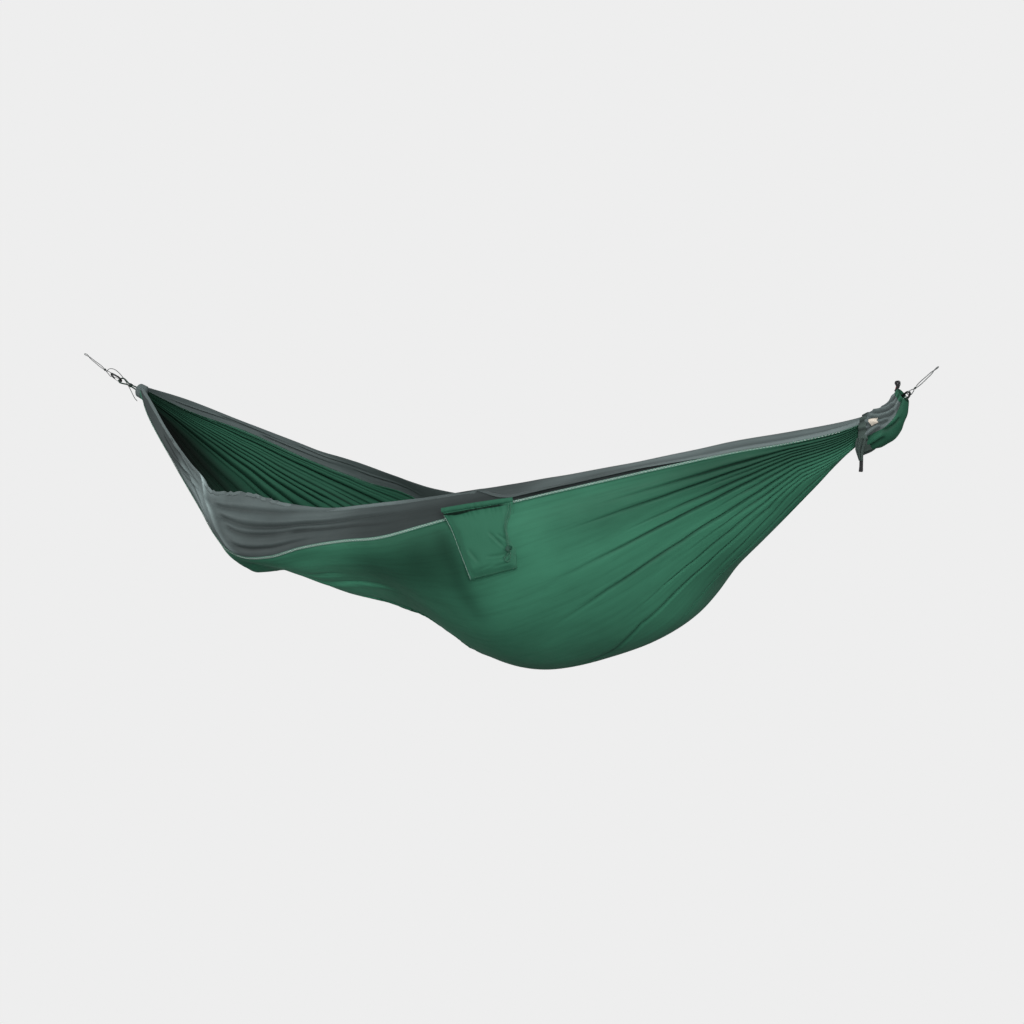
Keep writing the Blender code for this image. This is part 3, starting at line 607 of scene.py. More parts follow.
def gathered(edges, columns, reach, depth, deepest, sign, finest, darkest, spread):
    """Part of the bed with a fold in the middle of each cell, running in from each end.

    Edges are the cells' places across the cloth, row by row.  Reach and depth, (2, cells), say how
    far along each fold runs from the left and right ends and how much of its spare cloth it takes.
    Returns points, UVs, places across and the painted shade, darkest in each fold's valley.
    """
    count = edges.shape[1] - 1
    cell = np.concatenate([np.repeat(np.arange(count), len(columns)), [count - 1]])
    offset = np.concatenate([np.tile(columns, count), [0.5]])
    width_t = np.diff(edges, axis=1)[:, cell]
    t = edges[:, cell] + width_t * (offset + 0.5)
    base = smooth_surface(t)
    step = np.linalg.norm(np.gradient(base, axis=1), axis=-1) / np.gradient(t, axis=1)
    width = step * width_t
    spare = np.clip(width.max(axis=0) * 1.05 - width, 0, None)
    end = shares[:, None]
    left = ease(np.clip(1 - end / reach[0][cell], 0, 1), 0, 0.6)
    right = ease(np.clip(1 - (1 - end) / reach[1][cell], 0, 1), 0, 0.6)
    amount = (depth[0][cell] * left + depth[1][cell] * right) * ease(width_t, 0.015, 0.045)
    deep = np.minimum(np.minimum(0.9 * spare, 1.3 * width), deepest) * amount
    half = np.clip(0.11 * width, 0.0010, finest) * spread[cell]
    away = np.abs(offset) * width / half
    valley = np.exp(-away ** 1.4)
    crown = np.minimum(0.10 * width, 0.0025) * amount * (1 - (2 * offset) ** 2) * (1 - valley)
    points = base + grid_normals(base) * (sign * (valley * deep - crown))[..., None]
    # painted shade in the valleys of the folds
    shade = 1 - darkest * np.exp(-(away / 1.5) ** 1.6) * np.clip(amount * 1.6, 0, 1)
    return points, pairs(run_metres, CENTRE_CUT * (t - NEAR_SEAM) / 4), t, shade


NEAR_LEFT_EDGES = [
    1.0, 1.14, 1.28, 1.44, 1.58, 1.74, 1.90, 2.06, 2.20, 2.34, 2.50, 2.64, 2.80, 3.0]
NEAR_RIGHT_EDGES = [
    1.0, 1.12, 1.24, 1.36, 1.47, 1.60, 1.74, 1.90, 2.06, 2.22, 2.38, 2.55, 2.75, 3.0]
NEAR_REACH = np.array([
    [0.10, 0.14, 0.20, 0.14, 0.16, 0.24, 0.16, 0.22, 0.30, 0.50, 0.30, 0.52, 0.55],
    [0.12, 0.27, 0.31, 0.18, 0.26, 0.34, 0.18, 0.38, 0.22, 0.30, 0.48, 0.24, 0.28]])
NEAR_DEPTH = np.array([
    [0.2, 0.2, 0.3, 0.2, 0.3, 0.3, 0.3, 0.3, 0.4, 0.45, 0.3, 0.6, 0.6],
    [0.6, 0.8, 0.9, 0.6, 0.8, 1.0, 0.7, 1.1, 0.7, 0.9, 1.1, 0.8, 0.9]])
PLEAT_SHARES = [*np.arange(0.04, 0.19, 0.04), *np.arange(0.20, 0.43, 0.02)]
PLEAT_ROUTES = [
    [3.11, 3.57, 3.90, 4.24, 4.50, 4.71, 4.88, 5.00],
    [3.12, 3.54, 3.85, 4.15, 4.42, 4.63, 4.81, 4.97],
    [3.19, 3.55, 3.82, 4.07, 4.34, 4.55, 4.72, 4.88],
    [3.22, 3.56, 3.81, 4.05, 4.33, 4.55, 4.74, 4.91],
    [3.21, 3.55, 3.80, 4.02, 4.32, 4.55, 4.75, 4.93],
    [3.05, 3.41, 3.69, 3.91, 4.18, 4.47, 4.70, 4.92],
    [3.00, 3.14, 3.46, 3.75, 3.94, 4.24, 4.57, 4.88],
    [3.00, 3.07, 3.42, 3.75, 3.95, 4.25, 4.57, 4.86],
    [3.00, 3.23, 3.57, 3.84, 4.02, 4.36, 4.62, 4.86],
    [3.00, 3.09, 3.43, 3.76, 3.96, 4.27, 4.54, 4.79],
    [3.00, 3.03, 3.39, 3.75, 3.96, 4.26, 4.52, 4.76],
    [3.00, 3.00, 3.37, 3.73, 3.95, 4.26, 4.54, 4.79],
    [3.00, 3.00, 3.33, 3.71, 3.95, 4.27, 4.56, 4.84],
    [3.00, 3.00, 3.26, 3.67, 3.92, 4.25, 4.57, 4.85],
    [3.00, 3.00, 3.13, 3.59, 3.87, 4.17, 4.52, 4.82],
    [3.00, 3.00, 3.00, 3.48, 3.80, 4.04, 4.43, 4.75]]
FOLD_SHARES = np.arange(0.60, 0.93, 0.04)
FOLD_ROUTES = [
    [1.37, 1.60, 1.87, 2.20, 2.59, 3.00, 3.00, 3.00],
    [1.36, 1.57, 1.80, 2.09, 2.40, 2.75, 3.00, 3.00],
    [1.36, 1.55, 1.77, 2.03, 2.30, 2.56, 2.91, 3.00],
    [1.36, 1.55, 1.75, 1.99, 2.23, 2.45, 2.71, 3.00],
    [1.36, 1.54, 1.75, 1.98, 2.21, 2.42, 2.67, 2.97],
    [1.37, 1.55, 1.75, 1.99, 2.22, 2.44, 2.69, 3.00],
    [1.35, 1.51, 1.70, 1.90, 2.14, 2.35, 2.59, 2.86],
    [1.31, 1.45, 1.61, 1.78, 1.98, 2.21, 2.45, 2.71],
    [1.21, 1.33, 1.47, 1.60, 1.74, 1.89, 2.10, 2.37]]


def routed(table_shares, table, low, high, room, places):
    """Cell edges on routes that a table gives at a few shares of the length (places run 0 to 1)."""
    routes = np.stack([np.interp(shares, table_shares, route) for route in np.transpose(table)],
                      axis=1)
    room = room * np.arange(1, 9)
    routes = np.clip(routes, low + room, high - room[::-1])
    return np.stack([np.interp(places, np.linspace(0, 1, 10), [low, *row, high])
                     for row in routes])


def fanned(places):
    """Edges of the inside pleats, which fan out straight from the left tip."""
    even = ease(shares, 0.45, 0.80)[:, None]
    fan = routed(PLEAT_SHARES, PLEAT_ROUTES, 3, 5, 0.012, places)
    return fan * (1 - even) + (3 + 2 * places)[None, :] * even


def drifting(left_edges, right_edges):
    """Edges of the outside folds: even at the left, fanning out straight from the right tip."""
    share = ease(shares, 0.38, 0.62)[:, None]
    fan = routed(FOLD_SHARES, FOLD_ROUTES, 1, 3, 0.02, (np.array(right_edges) - 1) / 2)
    return np.array(left_edges) * (1 - share) + fan * share


def far_cells(seed, count):
    """Edges, reach, depth and spread of the inside pleats, of uneven widths."""
    random = np.random.default_rng(seed)
    widths = 0.35 + 1.5 * random.uniform(0, 1, count) ** 2.0
    places = np.concatenate([[0], np.cumsum(widths)]) / widths.sum()
    reach = random.uniform(0.40, 0.62, (2, count))
    depth = random.uniform(0.55, 1.35, (2, count))
    low = places[:-1] < 0.45
    depth[0] = np.where(low, np.maximum(depth[0], 1.0), depth[0])
    depth[1] = np.where(low, 0.25, depth[1])
    reach[1] = np.where(low, 0.16, reach[1])
    return fanned(places), reach, depth, random.choice([0.55, 0.8, 1.2, 1.9], count)


near_part = gathered(drifting(NEAR_LEFT_EDGES, NEAR_RIGHT_EDGES), FOLD_COLUMNS, NEAR_REACH,
                     NEAR_DEPTH, 0.013, -1.0, 0.0022, 0.72, np.ones(13))
far_edges, far_reach, far_depth, far_spread = far_cells(14, 18)
far_part = gathered(far_edges, PLEAT_COLUMNS, far_reach, far_depth, 0.036, 1.0, 0.0085, 0.96,
                    far_spread)
points, uvs, across, shade = (np.concatenate([near[:, :-1], far], axis=1)
                              for near, far in zip(near_part, far_part))


def even_out(points, weight, spread):
    """Average the points along the cloth, over about spread rows, where weight is 1."""
    reach = np.arange(-3 * spread, 3 * spread + 1)
    pull = np.exp(-(reach / spread) ** 2 / 2)
    rows = np.clip(np.arange(len(points))[:, None] + reach, 0, len(points) - 1)
    mean = (points[rows] * (pull / pull.sum())[None, :, None, None]).sum(axis=1)
    return points + (mean - points) * weight[..., None]


def undulate(points, t, size, seed):
    """Soft lengthwise waves and slack, in metres along the normal."""
    wave = (soft_noise(run_metres * 3.0, t * 3.2, seed)
            + 0.5 * soft_noise(run_metres * 7.0, t * 9.0, seed + 1))
    middle = within(shares, 0.05, 0.25, 0.75, 0.95)[:, None]
    return points + grid_normals(points) * (wave * size * middle)[..., None]


def crease(points, t, route, width, depth):
    """Press a narrow fold into the outside along a route of (share, t) places."""
    at, centre = np.transpose(route)
    step = (np.linalg.norm(np.gradient(points, axis=1), axis=-1)
            / np.maximum(np.gradient(t, axis=1), 1e-6))
    away = (t - np.interp(shares, at, centre)[:, None]) * step / width
    run = within(shares, at[0], at[0] + 0.03, at[-1] - 0.03, at[-1])[:, None]
    press = depth * (np.exp(-np.abs(away) ** 1.5) - 0.45 * bump(away, 2, 1.6))
    return points - grid_normals(points) * (press * run)[..., None]


along = np.repeat(shares[:, None], points.shape[1], axis=1)
points = even_out(points, within(along, 0.12, 0.19, 0.40, 0.48)
                  * within(across, 2.5, 3.1, 4.6, 4.97), 6)
edge = ease(np.minimum(across - NEAR_SEAM, FAR_SEAM - across), 0.0, 0.25)
points = points + (undulate(points, across, 0.004, 5) - points) * edge[..., None]
for route, width, depth in (
        ([(0.415, 2.72), (0.50, 2.66), (0.56, 2.60)], 0.006, 0.012),
        ([(0.40, 2.44), (0.47, 2.42), (0.53, 2.40)], 0.005, 0.008),
        ([(0.33, 2.10), (0.40, 2.02), (0.50, 1.90)], 0.010, 0.006),
        ([(0.30, 1.75), (0.38, 1.72), (0.45, 1.66)], 0.012, 0.004)):
    points = crease(points, across, route, width, depth)
# Painted light and shade on the outside: paler on the lower belly, darker beside and below the
# pocket with a painted shadow along its left edge, and darker near the seam towards the right
pocket_side = np.interp(across, [1.0, 1.15, 1.33, 1.48, 1.58], [0.588, 0.596, 0.598, 0.600, 0.598])
outer_shade = toned(
    shade,
    (0.12, ease(across, 1.9, 2.6), fall(along, 0.5, 0.85), ease(along, 0.38, 0.50)),
    (-0.52, bump(along, 0.566, 0.060), bump(across, 1.34, 0.34)),
    (-0.26, within(along, 0.46, 0.52, 0.58, 0.64), fall(across, 1.5, 1.9)),
    (0.75, within(along, 0.30, 0.38, 0.42, 0.50), ease(across, 1.15, 1.45)),
    (-0.34, bump(along, pocket_side, 0.010), within(across, 1.0, 1.2, 1.75, 2.0)),
    (-0.22, ease(along, 0.67, 0.73), fall(across, 1.40, 1.75)),
    (-0.46, ease(along, 0.72, 0.88), fall(across, 1.3, 2.2)))
# Painted shade on the inside, deepest along the near strip and at the left tip
inner_shade = toned(
    shade,
    (-0.90, fall(across, 3.3, 4.0), fall(along, 0.10, 0.30)),
    (-0.5, fall(along, 0.02, 0.10)),
    (-0.55, fall(across, 3.9, 4.5), fall(along, 0.06, 0.14)))
bed_cloth = shell("bed_centre_cloth", points, uvs, CLOTH, "green_cloth", "bed", "centre_panel",
                  inner="green_inside", shade=(outer_shade, inner_shade))


# Side strips and their hems --------------------

CREST = 48                                      # a strip's column at the crest


def strip_surface(seam, rim, roll, seed, folds, ridge=None):
    """Mid-surface of a side strip: up from its seam to the crest, then rolled back down outside.

    Returns points (rows, columns, 3), outward normals, each column's place from 0 at the seam,
    1 at the crest and 2 at the end of a full roll, and the painted shade.  Each fold is (start
    share, end share, start place, end place, width, depth).
    """
    back = np.linspace(0, 1, 25)[1:]
    across = np.concatenate([np.linspace(0, 1, CREST + 1), 1 + back])
    sheet = smooth_surface(across_all(np.linspace(min(seam, rim), max(seam, rim), CREST + 1)))
    normals = grid_normals(sheet)
    if rim < seam:
        sheet, normals = sheet[:, ::-1], normals[:, ::-1]
    rolled = roll(shares)
    place = (1 - np.outer(rolled, back)) * CREST
    index = np.clip(place.astype(int), 0, CREST - 1)
    part = (place - index)[..., None]
    rows = np.arange(len(shares))[:, None]
    down = sheet[rows, index] * (1 - part) + sheet[rows, index + 1] * part
    outward = normals[rows, index]
    gap = 0.0045 + 0.003 * soft_noise(shares * 30, shares * 3, seed + 7, 2)[:, None]
    opening = np.sin(np.clip(back * 2.4, 0, 1) * math.pi / 2)
    lift = gap * opening[None, :] * ease(rolled, 0, 0.12)[:, None]
    points = np.concatenate([sheet, down + outward * lift[..., None]], axis=1)
    normals = np.concatenate([normals, outward], axis=1)
    ripple = (0.0014 * soft_noise(run_metres * 13, across[None, :] * 4.0, seed + 1, 2)
              + 0.0009 * soft_noise(run_metres * 36, across[None, :] * 5.0, seed + 2, 2))
    ripple = ripple * ((0.3 + 0.7 * ease(shares, 0.16, 0.24)) * fall(shares, 0.8, 0.98))[:, None]
    ripple = ripple * ease(across, 0.0, 0.2)[None, :]
    shade = np.ones(ripple.shape)
    for start, stop, from_place, to_place, width, depth in folds:
        centre = np.interp(shares, [start, stop], [from_place, to_place])[:, None]
        fade = start + 0.3 * (stop - start)
        run = within(shares, start, start + 0.012, fade, stop)[:, None]
        away = (across[None, :] - centre) / width
        ripple = ripple + depth * run * pressed(away, 0.6, 1.6)
        # painted shade in the fold's valley and painted light on its crest
        shade = toned(shade, (-0.38, run, bump(away, 0, 0.8)), (0.14, run, bump(away, 1.6, 1)))
    if ridge is not None:
        beyond = (shares[:, None] - np.interp(across, *ridge)[None, :]) * CLOTH_LENGTH
        here = (ease(across, 0.0, 0.12) * fall(across, 1.0, 1.3))[None, :]
        ripple = ripple + here * 0.0110 * np.exp(-np.abs(beyond) / 0.026)
        # painted highlight along the ridge and painted shade just past it
        shade = toned(shade, (0.90, here, bump(beyond, -0.010, 0.026)),
                      (-0.22, here, bump(beyond, 0.030, 0.022)))
    return points + normals * ripple[..., None], normals, across, shade


def ruffle(points, normals, start, stop, pitch, size, seed):
    """Frill the free edge between two shares of the length."""
    random = np.random.default_rng(seed)
    run = within(shares, start, start + 0.02, stop - 0.06, stop)
    phase = shares * CLOTH_LENGTH / pitch * 2 * math.pi
    wave = np.sin(phase + 1.3 * np.sin(phase * 0.37 + random.uniform(0, 6))) * run
    lift = np.clip(0.6 * np.sin(phase * 0.5 + 1.0 + np.sin(phase * 0.21)) + 0.25, -0.4, 1) * run
    fade = np.linspace(0, 1, points.shape[1])[None, :] ** 3
    points = points + normals * (size * wave[:, None] * fade)[..., None]
    points[..., 2] += size * 0.9 * lift[:, None] * fade
    return points


def strip_piece(name, surface, node, tones):
    points, _, across, shade = surface
    shade = shade * tones(shares[:, None], across[None, :])
    return shell(name, points, pairs(run_metres, across[None, :] * 0.12), CLOTH, "grey_cloth",
                 "bed", node, inner="grey_inside", shade=(shade, shade))


def hem_piece(name, surface, node, shade=None):
    """The folded hem along a strip's free edge, with a small roll at its lip.

    Returns the piece, and the line of its stitches with their outward normals.
    """
    points, normals = surface[:2]
    edge, outward = points[:, -1], normals[:, -1]
    tall = np.linalg.norm(points[:, 0] - points[:, CREST], axis=-1, keepdims=True)
    flap, face = points[:, -5] - edge, points[:, CREST - 5] - edge
    flap_length = np.linalg.norm(flap, axis=-1, keepdims=True)
    rolled = ease(flap_length / np.maximum(tall, 1e-9), 0.01, 0.06)
    flap = flap / np.maximum(flap_length, 1e-9)
    inward = (flap * rolled + unit(face) * (1 - rolled)) * HEM_WIDTH
    outer = [(1.0, 0.0007), (0.75, 0.0011), (0.5, 0.0009), (0.25, 0.0011), (0.04, 0.0012),
             (-0.04, 0.0005)]
    profile = outer + [(part, -height) for part, height in reversed(outer)]
    pucker = (1 + 0.18 * soft_noise(shares * 260, shares * 9, 3, 2))[:, None]
    narrow = np.clip(tall * 0.6, 0, HEM_WIDTH) / HEM_WIDTH
    rings = np.stack([edge + (inward * part + outward * height * pucker) * narrow
                      for part, height in profile], axis=1)
    piece = closed_tube(name, rings, "grey_hem", "bed", node, shade=shade)
    return piece, edge + inward * 0.78 * narrow, outward


HEM_WIDTH = 0.011
NEAR_RIDGE = ([0.05, 0.15, 0.25, 0.50, 0.72, 1.00], [0.332, 0.318, 0.298, 0.274, 0.250, 0.236])
near_surface = strip_surface(
    NEAR_SEAM, 0.0, lambda s: 0.80 * ease(s, 0.60, 0.665) + 0.20 * ease(s, 0.77, 0.87), 21,
    [(0.268, 0.50, 0.66, 0.97, 0.050, 0.0070), (0.285, 0.60, 0.50, 0.74, 0.050, 0.0100),
     (0.300, 0.46, 0.40, 0.50, 0.045, 0.0080), (0.318, 0.46, 0.20, 0.20, 0.045, 0.0060),
     (0.40, 0.56, 0.46, 0.40, 0.05, 0.0040),
     (0.10, 0.235, 0.55, 0.45, 0.060, 0.0030), (0.13, 0.235, 0.30, 0.62, 0.050, 0.0030),
     (0.16, 0.24, 0.75, 0.62, 0.040, 0.0035), (0.12, 0.20, 0.88, 0.72, 0.035, 0.0050),
     (0.15, 0.24, 0.40, 0.74, 0.035, 0.0060),
     (0.17, 0.25, 0.30, 0.60, 0.030, 0.0050), (0.19, 0.27, 0.50, 0.25, 0.040, 0.0050),
     (0.21, 0.29, 0.40, 0.15, 0.035, 0.0045)], NEAR_RIDGE)
near_surface = (ruffle(*near_surface[:2], 0.245, 0.40, 0.024, 0.0050, 4), *near_surface[1:])


def near_light_and_shade(s, place):
    """The near strip's painted light and shade: lighter on its left face and ridge, darker at its
    left end and under the rim beside the pocket, and a painted shadow under the rolled flap.
    """
    # painted light and shade of crumples on the left face
    crumple = within(s, 0.155, 0.19, 0.25, 0.30) * ease(place, 0.08, 0.30)
    crease_shading = soft_noise(s * 46 + place * 3, place * 11, 52, 3)
    past = s - np.interp(place, *NEAR_RIDGE)
    return toned(1, (-0.48, fall(s, 0.14, 0.18)),
                 (1, crumple, np.clip(0.62 + 1.3 * crease_shading, -0.35, 1.25)),
                 (0.30, bump(past, -0.002, 0.007), ease(place, 0.25, 0.55)),
                 (-0.34, fall(place, 0.50, 0.88), within(s, 0.30, 0.36, 0.66, 0.71)),
                 (-0.48, within(s, 0.42, 0.54, 0.66, 0.71)),
                 (0.32, within(s, 0.70, 0.80, 0.80, 0.94)),
                 (-0.35, ease(s, 0.68, 0.74), ease(place, 1.40, 1.75)),
                 # painted shadow under the rolled flap, just above the seam
                 (-0.80, ease(s, 0.65, 0.69), fall(place, 0.24, 0.42)))


near_strip = strip_piece("near_strip", near_surface, "near_side_panel", near_light_and_shade)
# the near hem gets painted shade beside the pocket
near_hem, *near_hem_line = hem_piece("near_hem", near_surface, "near_rim_hem",
                                     1 - 0.45 * within(shares, 0.50, 0.58, 0.72, 0.85))
far_surface = strip_surface(
    FAR_SEAM, FAR_RIM, lambda s: 0.92 + 0 * s, 31,
    [(0.03, 0.16, 0.30, 0.62, 0.07, -0.0035), (0.09, 0.20, 0.66, 0.50, 0.06, -0.0040),
     (0.14, 0.26, 0.30, 0.36, 0.07, -0.0040), (0.19, 0.30, 0.70, 0.58, 0.06, -0.0035),
     (0.26, 0.36, 0.40, 0.30, 0.07, -0.0040)])
# painted light: the far strip is made paler towards the right
far_strip = strip_piece("far_strip", far_surface, "far_side_panel",
                        lambda s, place: 1 + 0.25 * ease(s, 0.60, 0.80) + 0 * place)
far_hem, *far_hem_line = hem_piece("far_hem", far_surface, "far_rim_hem")


# Seams and stitching --------------------

# Sizes of stitches: spacing, length, width and height; a zigzag's length follows from its swing
HEM_STITCH = (0.0046, 0.0032, 0.0009, 0.0006)
INSIDE_STITCH = (0.0044, 0.0030, 0.0009, 0.0005)
NEAR_ZIGZAG = (0.0046, 0.0, 0.0017, 0.0007)
FAR_ZIGZAG = (0.0032, 0.0, 0.0011, 0.0006)
ZIGZAG_SWING = 0.0062
SEAM_LIFT = 0.0015


def stitches(name, line, outward, sizes, material, body, start=0.0, stop=1.0, zigzag=0.0):
    """A row of separate thread stitches along a line on the cloth."""
    spacing, length, width, height = sizes
    run = run_along(line)
    at = np.arange(run[-1] * start + spacing, run[-1] * stop - spacing, spacing)
    place, out = read_at(at, run, line), unit(read_at(at, run, outward))
    along = unit(np.gradient(place, axis=0))
    side = np.cross(out, along)
    if zigzag:
        swing = np.where(np.arange(len(at)) % 2 == 0, 1.0, -1.0)[:, None]
        ahead = along * spacing + side * zigzag * swing
        length = np.linalg.norm(ahead[0])
        along = unit(ahead)
        side = np.cross(out, along)
    corners = []
    for end, rise, half in ((-0.5, 0.15, 0.6), (-0.25, 1, 1), (0.25, 1, 1), (0.5, 0.15, 0.6)):
        for over, up in ((-1, 0.15), (-0.5, 1.0), (0.5, 1.0), (1, 0.15)):
            corners.append(place + along * length * end + side * width / 2 * half * over
                           + out * height * rise * up)
    skin = grid_quads(4, 4, 0, True).tolist() + [[3, 2, 1, 0], [12, 13, 14, 15]]
    quads = (np.array(skin)[None] + 16 * np.arange(len(at))[:, None, None]).reshape(-1, 4)
    return add(name, quad_mesh(name, np.stack(corners, axis=1), quads), material, body)


def seam_piece(name, seam, width, node):
    """The felled seam: a flat band of doubled cloth over the join, lifted off the cloth.

    Returns the line of the join with its outward normals.
    """
    offsets = np.linspace(-1, 1, 7)
    wide = smooth_surface(across_all(seam + np.linspace(-0.05, 0.05, 3)))
    here, out, side = wide[:, 1], grid_normals(wide)[:, 1], unit(wide[:, 2] - wide[:, 0])
    narrow = 0.35 + 0.65 * ease(np.minimum(shares, 1 - shares), 0.02, 0.14)
    pucker = 0.0003 * soft_noise(shares * 420, shares * 5, 8, 2)
    half = (width / 2 * narrow)[:, None]
    band = np.stack([here + side * half * offset
                     + out * (SEAM_LIFT + pucker - 0.0004 * offset ** 2)[:, None]
                     for offset in offsets], axis=1)
    shell(name, band, pairs(run_metres, offsets[None, :] * 0.006), 0.0009, "seam_cloth", "bed",
          node)
    return here, out


for side, seam, width, sizes in (("near", NEAR_SEAM, 0.0090, NEAR_ZIGZAG),
                                 ("far", FAR_SEAM, 0.0115, FAR_ZIGZAG)):
    line, out = seam_piece(f"{side}_seam_band", seam, width, f"{side}_seam_tape")
    stitches(f"{side}_seam_zigzag", line + out * 0.0021, out, sizes, "pale_thread", "bed",
             0.03, 0.97, zigzag=ZIGZAG_SWING)
stitches("far_seam_inside", line - out * 0.0008, -out, INSIDE_STITCH, "green_thread", "bed",
         0.04, 0.96)
for name, (line, out) in (("near_hem_stitches", near_hem_line), ("far_hem_stitches", far_hem_line)):
    for label, face in ((name, out), (name + "_inside", -out)):
        stitches(label, line + face * 0.0010, face, HEM_STITCH, "grey_thread", "bed", 0.04, 0.96)


# Ropes, knots and end loops --------------------

ROPE_RADIUS = 0.00125
ROPE_EYE_RADIUS = 0.0056
HOOK_LOOP_RADIUS = ROPE_EYE_RADIUS + 0.0009     # wide enough to clear the clip as the bed swings
GAP = 0.0004
LOOP_RADIUS = 0.0025
LOOP_TURN_RADIUS = 0.010
LOOP_TURN_REACH = 0.043 - LOOP_RADIUS - GAP + LOOP_TURN_RADIUS
THIN_CORD_RADIUS = 0.0011


def there_and_back(start, turn):
    """A route out along start, round the turn, and back along start's mirror image in XZ."""
    return start + turn + [(x, -y, z) for x, y, z in reversed(start)]


def anchor_rope(side, hook, eye, knot_reach, knot_radius):
    """The doubled rope from its knot to its far eye, and the small loop the clip hooks into."""
    along = eye - hook
    matrix = frame_matrix(HOOK_LINE + hook, along)
    knot_face = knot_reach + knot_radius + GAP
    turn = along.length - ROPE_EYE_RADIUS
    strand = ROPE_RADIUS * 1.25
    outward = [(knot_face, 0, strand), (knot_face + 0.006, 0.0004, 0.0026),
               ((knot_face + turn) / 2, 0.001, 0.0028), (turn - 0.020, 0.0026, 0.0026)]
    back = [(x, -y, -z) for x, y, z in reversed(outward)]
    route = outward + arc((turn, 0, 0), ROPE_EYE_RADIUS, 80, -80, 7) + back
    path = placed(matrix, evenly(route, 70))
    rope = cord_piece(f"{side}_anchor_cord", path, ROPE_RADIUS, "grey_cord", "anchors",
                      f"{side}_anchor_rope")
    angle = np.linspace(0, 2 * math.pi, 90)
    size = (knot_radius - ROPE_RADIUS) * np.array([1 / 3, 0.24, 0.5])
    trefoil = np.stack([np.sin(angle) + 2 * np.sin(2 * angle),
                        np.cos(angle) - 2 * np.cos(2 * angle), -np.sin(3 * angle)], axis=1)
    knot_path = placed(matrix, trefoil * size + np.array([knot_reach, 0, 0]))
    knot = closed_tube(f"{side}_tied_knot", rings_along(knot_path, ROPE_RADIUS * 1.15, 10),
                       "black_cord", "anchors", f"{side}_anchor_knot")

    near_face = knot_reach - knot_radius - GAP
    start = [(near_face, strand, 0), (near_face - 0.002, strand, 0),
             (near_face * 0.55 + 0.003, 0.0030, 0)]
    route = there_and_back(start, arc((0, 0, 0), HOOK_LOOP_RADIUS, 62, 298, 9))
    rolled = matrix @ Matrix.Rotation(-CARABINER_ROLL, 4, "X")
    path = placed(rolled, evenly(route, 50))
    loop = cord_piece(f"{side}_hook_loop", path, ROPE_RADIUS, "grey_cord", "anchors",
                      f"{side}_hook_eye")


anchor_rope("left", LEFT_HOOK, LEFT_EYE, 0.034, 0.0055)
anchor_rope("right", RIGHT_HOOK, RIGHT_EYE, 0.0195, 0.0040)


def end_rig(side, hook, tilt, seizing_reach, channel_reach):
    """End loop with its whipped collar, and the gathered sleeve that the loop runs through."""
    outward = 1 if side == "left" else -1
    along = Vector((outward * math.cos(tilt), 0, -math.sin(tilt)))
    chain = frame_matrix(HOOK_LINE + hook, along)
    strand = LOOP_RADIUS + GAP
    start = [(channel_reach - GAP, 0.0042, 0), (channel_reach - 0.003, 0.0042, 0),
             (seizing_reach + 0.011, strand, 0), (seizing_reach, strand, 0),
             (seizing_reach - 0.004, strand * 1.05, 0)]
    route = there_and_back(start, arc((LOOP_TURN_REACH, 0, 0), LOOP_TURN_RADIUS, 75, 285, 9))
    rolled = chain @ Matrix.Rotation(CARABINER_ROLL, 4, "X")
    path = placed(rolled, evenly(route, 90))
    loop = cord_piece(f"{side}_loop_cord", path, LOOP_RADIUS, "loop_green", "bed",
                      f"{side}_end_loop")

    turns, wrap_radius = 7, LOOP_RADIUS + 0.0008
    angle = np.linspace(0, 2 * math.pi * turns, 28 * turns)
    wrap = np.stack([seizing_reach + 0.001 + 0.009 * angle / angle[-1],
                     np.sin(angle) * wrap_radius + strand * np.clip(np.sin(angle) * 3, -1, 1),
                     np.cos(angle) * wrap_radius], axis=1)
    closed_tube(f"{side}_whipping", rings_along(placed(rolled, wrap), 0.00075, 8), "black_cord",
                "bed", f"{side}_loop_seizing")

    at = np.linspace(0, 1, 34)[:, None]
    angle = np.linspace(0, 2 * math.pi, 112, endpoint=False)[None, :]
    swell = np.sqrt(np.clip(1 - (1 - np.clip(at / 0.34, 0, 1)) ** 2, 0, 1)) * 0.86 + 0.14
    random = np.random.default_rng(77)
    gathers = sum(random.uniform(0.5, 1.0) * np.cos(count * angle + random.uniform(0, 6.3))
                  for count in (13, 17, 22)) / 2.4 * 0.0019 * (1 - 0.35 * at)
    width = (0.0150 - 0.0005 * at) * swell + gathers
    height = (0.0215 + 0.0025 * at) * swell + gathers
    local = np.stack([channel_reach + CHANNEL_LENGTH * 1.40 * at + 0 * angle,
                      width * np.sin(angle), height * np.cos(angle)], axis=-1)
    closed_tube(f"{side}_gathered_sleeve", placed(chain, local), "grey_sleeve", "bed",
                f"{side}_end_channel")
    return chain


end_rig("left", LEFT_HOOK, LEFT_TILT, 0.086, LEFT_CHANNEL_REACH)
right_chain = end_rig("right", RIGHT_HOOK, RIGHT_TILT, 0.068, RIGHT_CHANNEL_REACH)

KEEPER_ROUTE = [(-1.4290, -.0125, .0105), (-1.421, -.0140, .0190), (-1.405, -.0140, .0215),
                (-1.389, -.0150, .0180), (-1.375, -.0165, .0110), (-1.361, -.0175, .0010),
                (-1.347, -.0175, -.0130), (-1.335, -.0165, -.0280), (-1.325, -.0160, -.0420),
                (-1.316, -.0165, -.0550), (-1.307, -.0180, -.0670), (-1.298, -.0195, -.0770),
                (-1.289, -.0200, -.0840)]
keeper_path = evenly(KEEPER_ROUTE, 60) + np.array(HOOK_LINE)
keeper = cord_piece("left_keeper_cord", keeper_path, THIN_CORD_RADIUS, "black_cord", "bed",
                    "left_guide_cord")
refinish("black_bar", "left_carabiner_body", "right_carabiner_body")
refinish("gate_wire", "left_wire_gate", "right_wire_gate")


# Storage sack at the right end --------------------

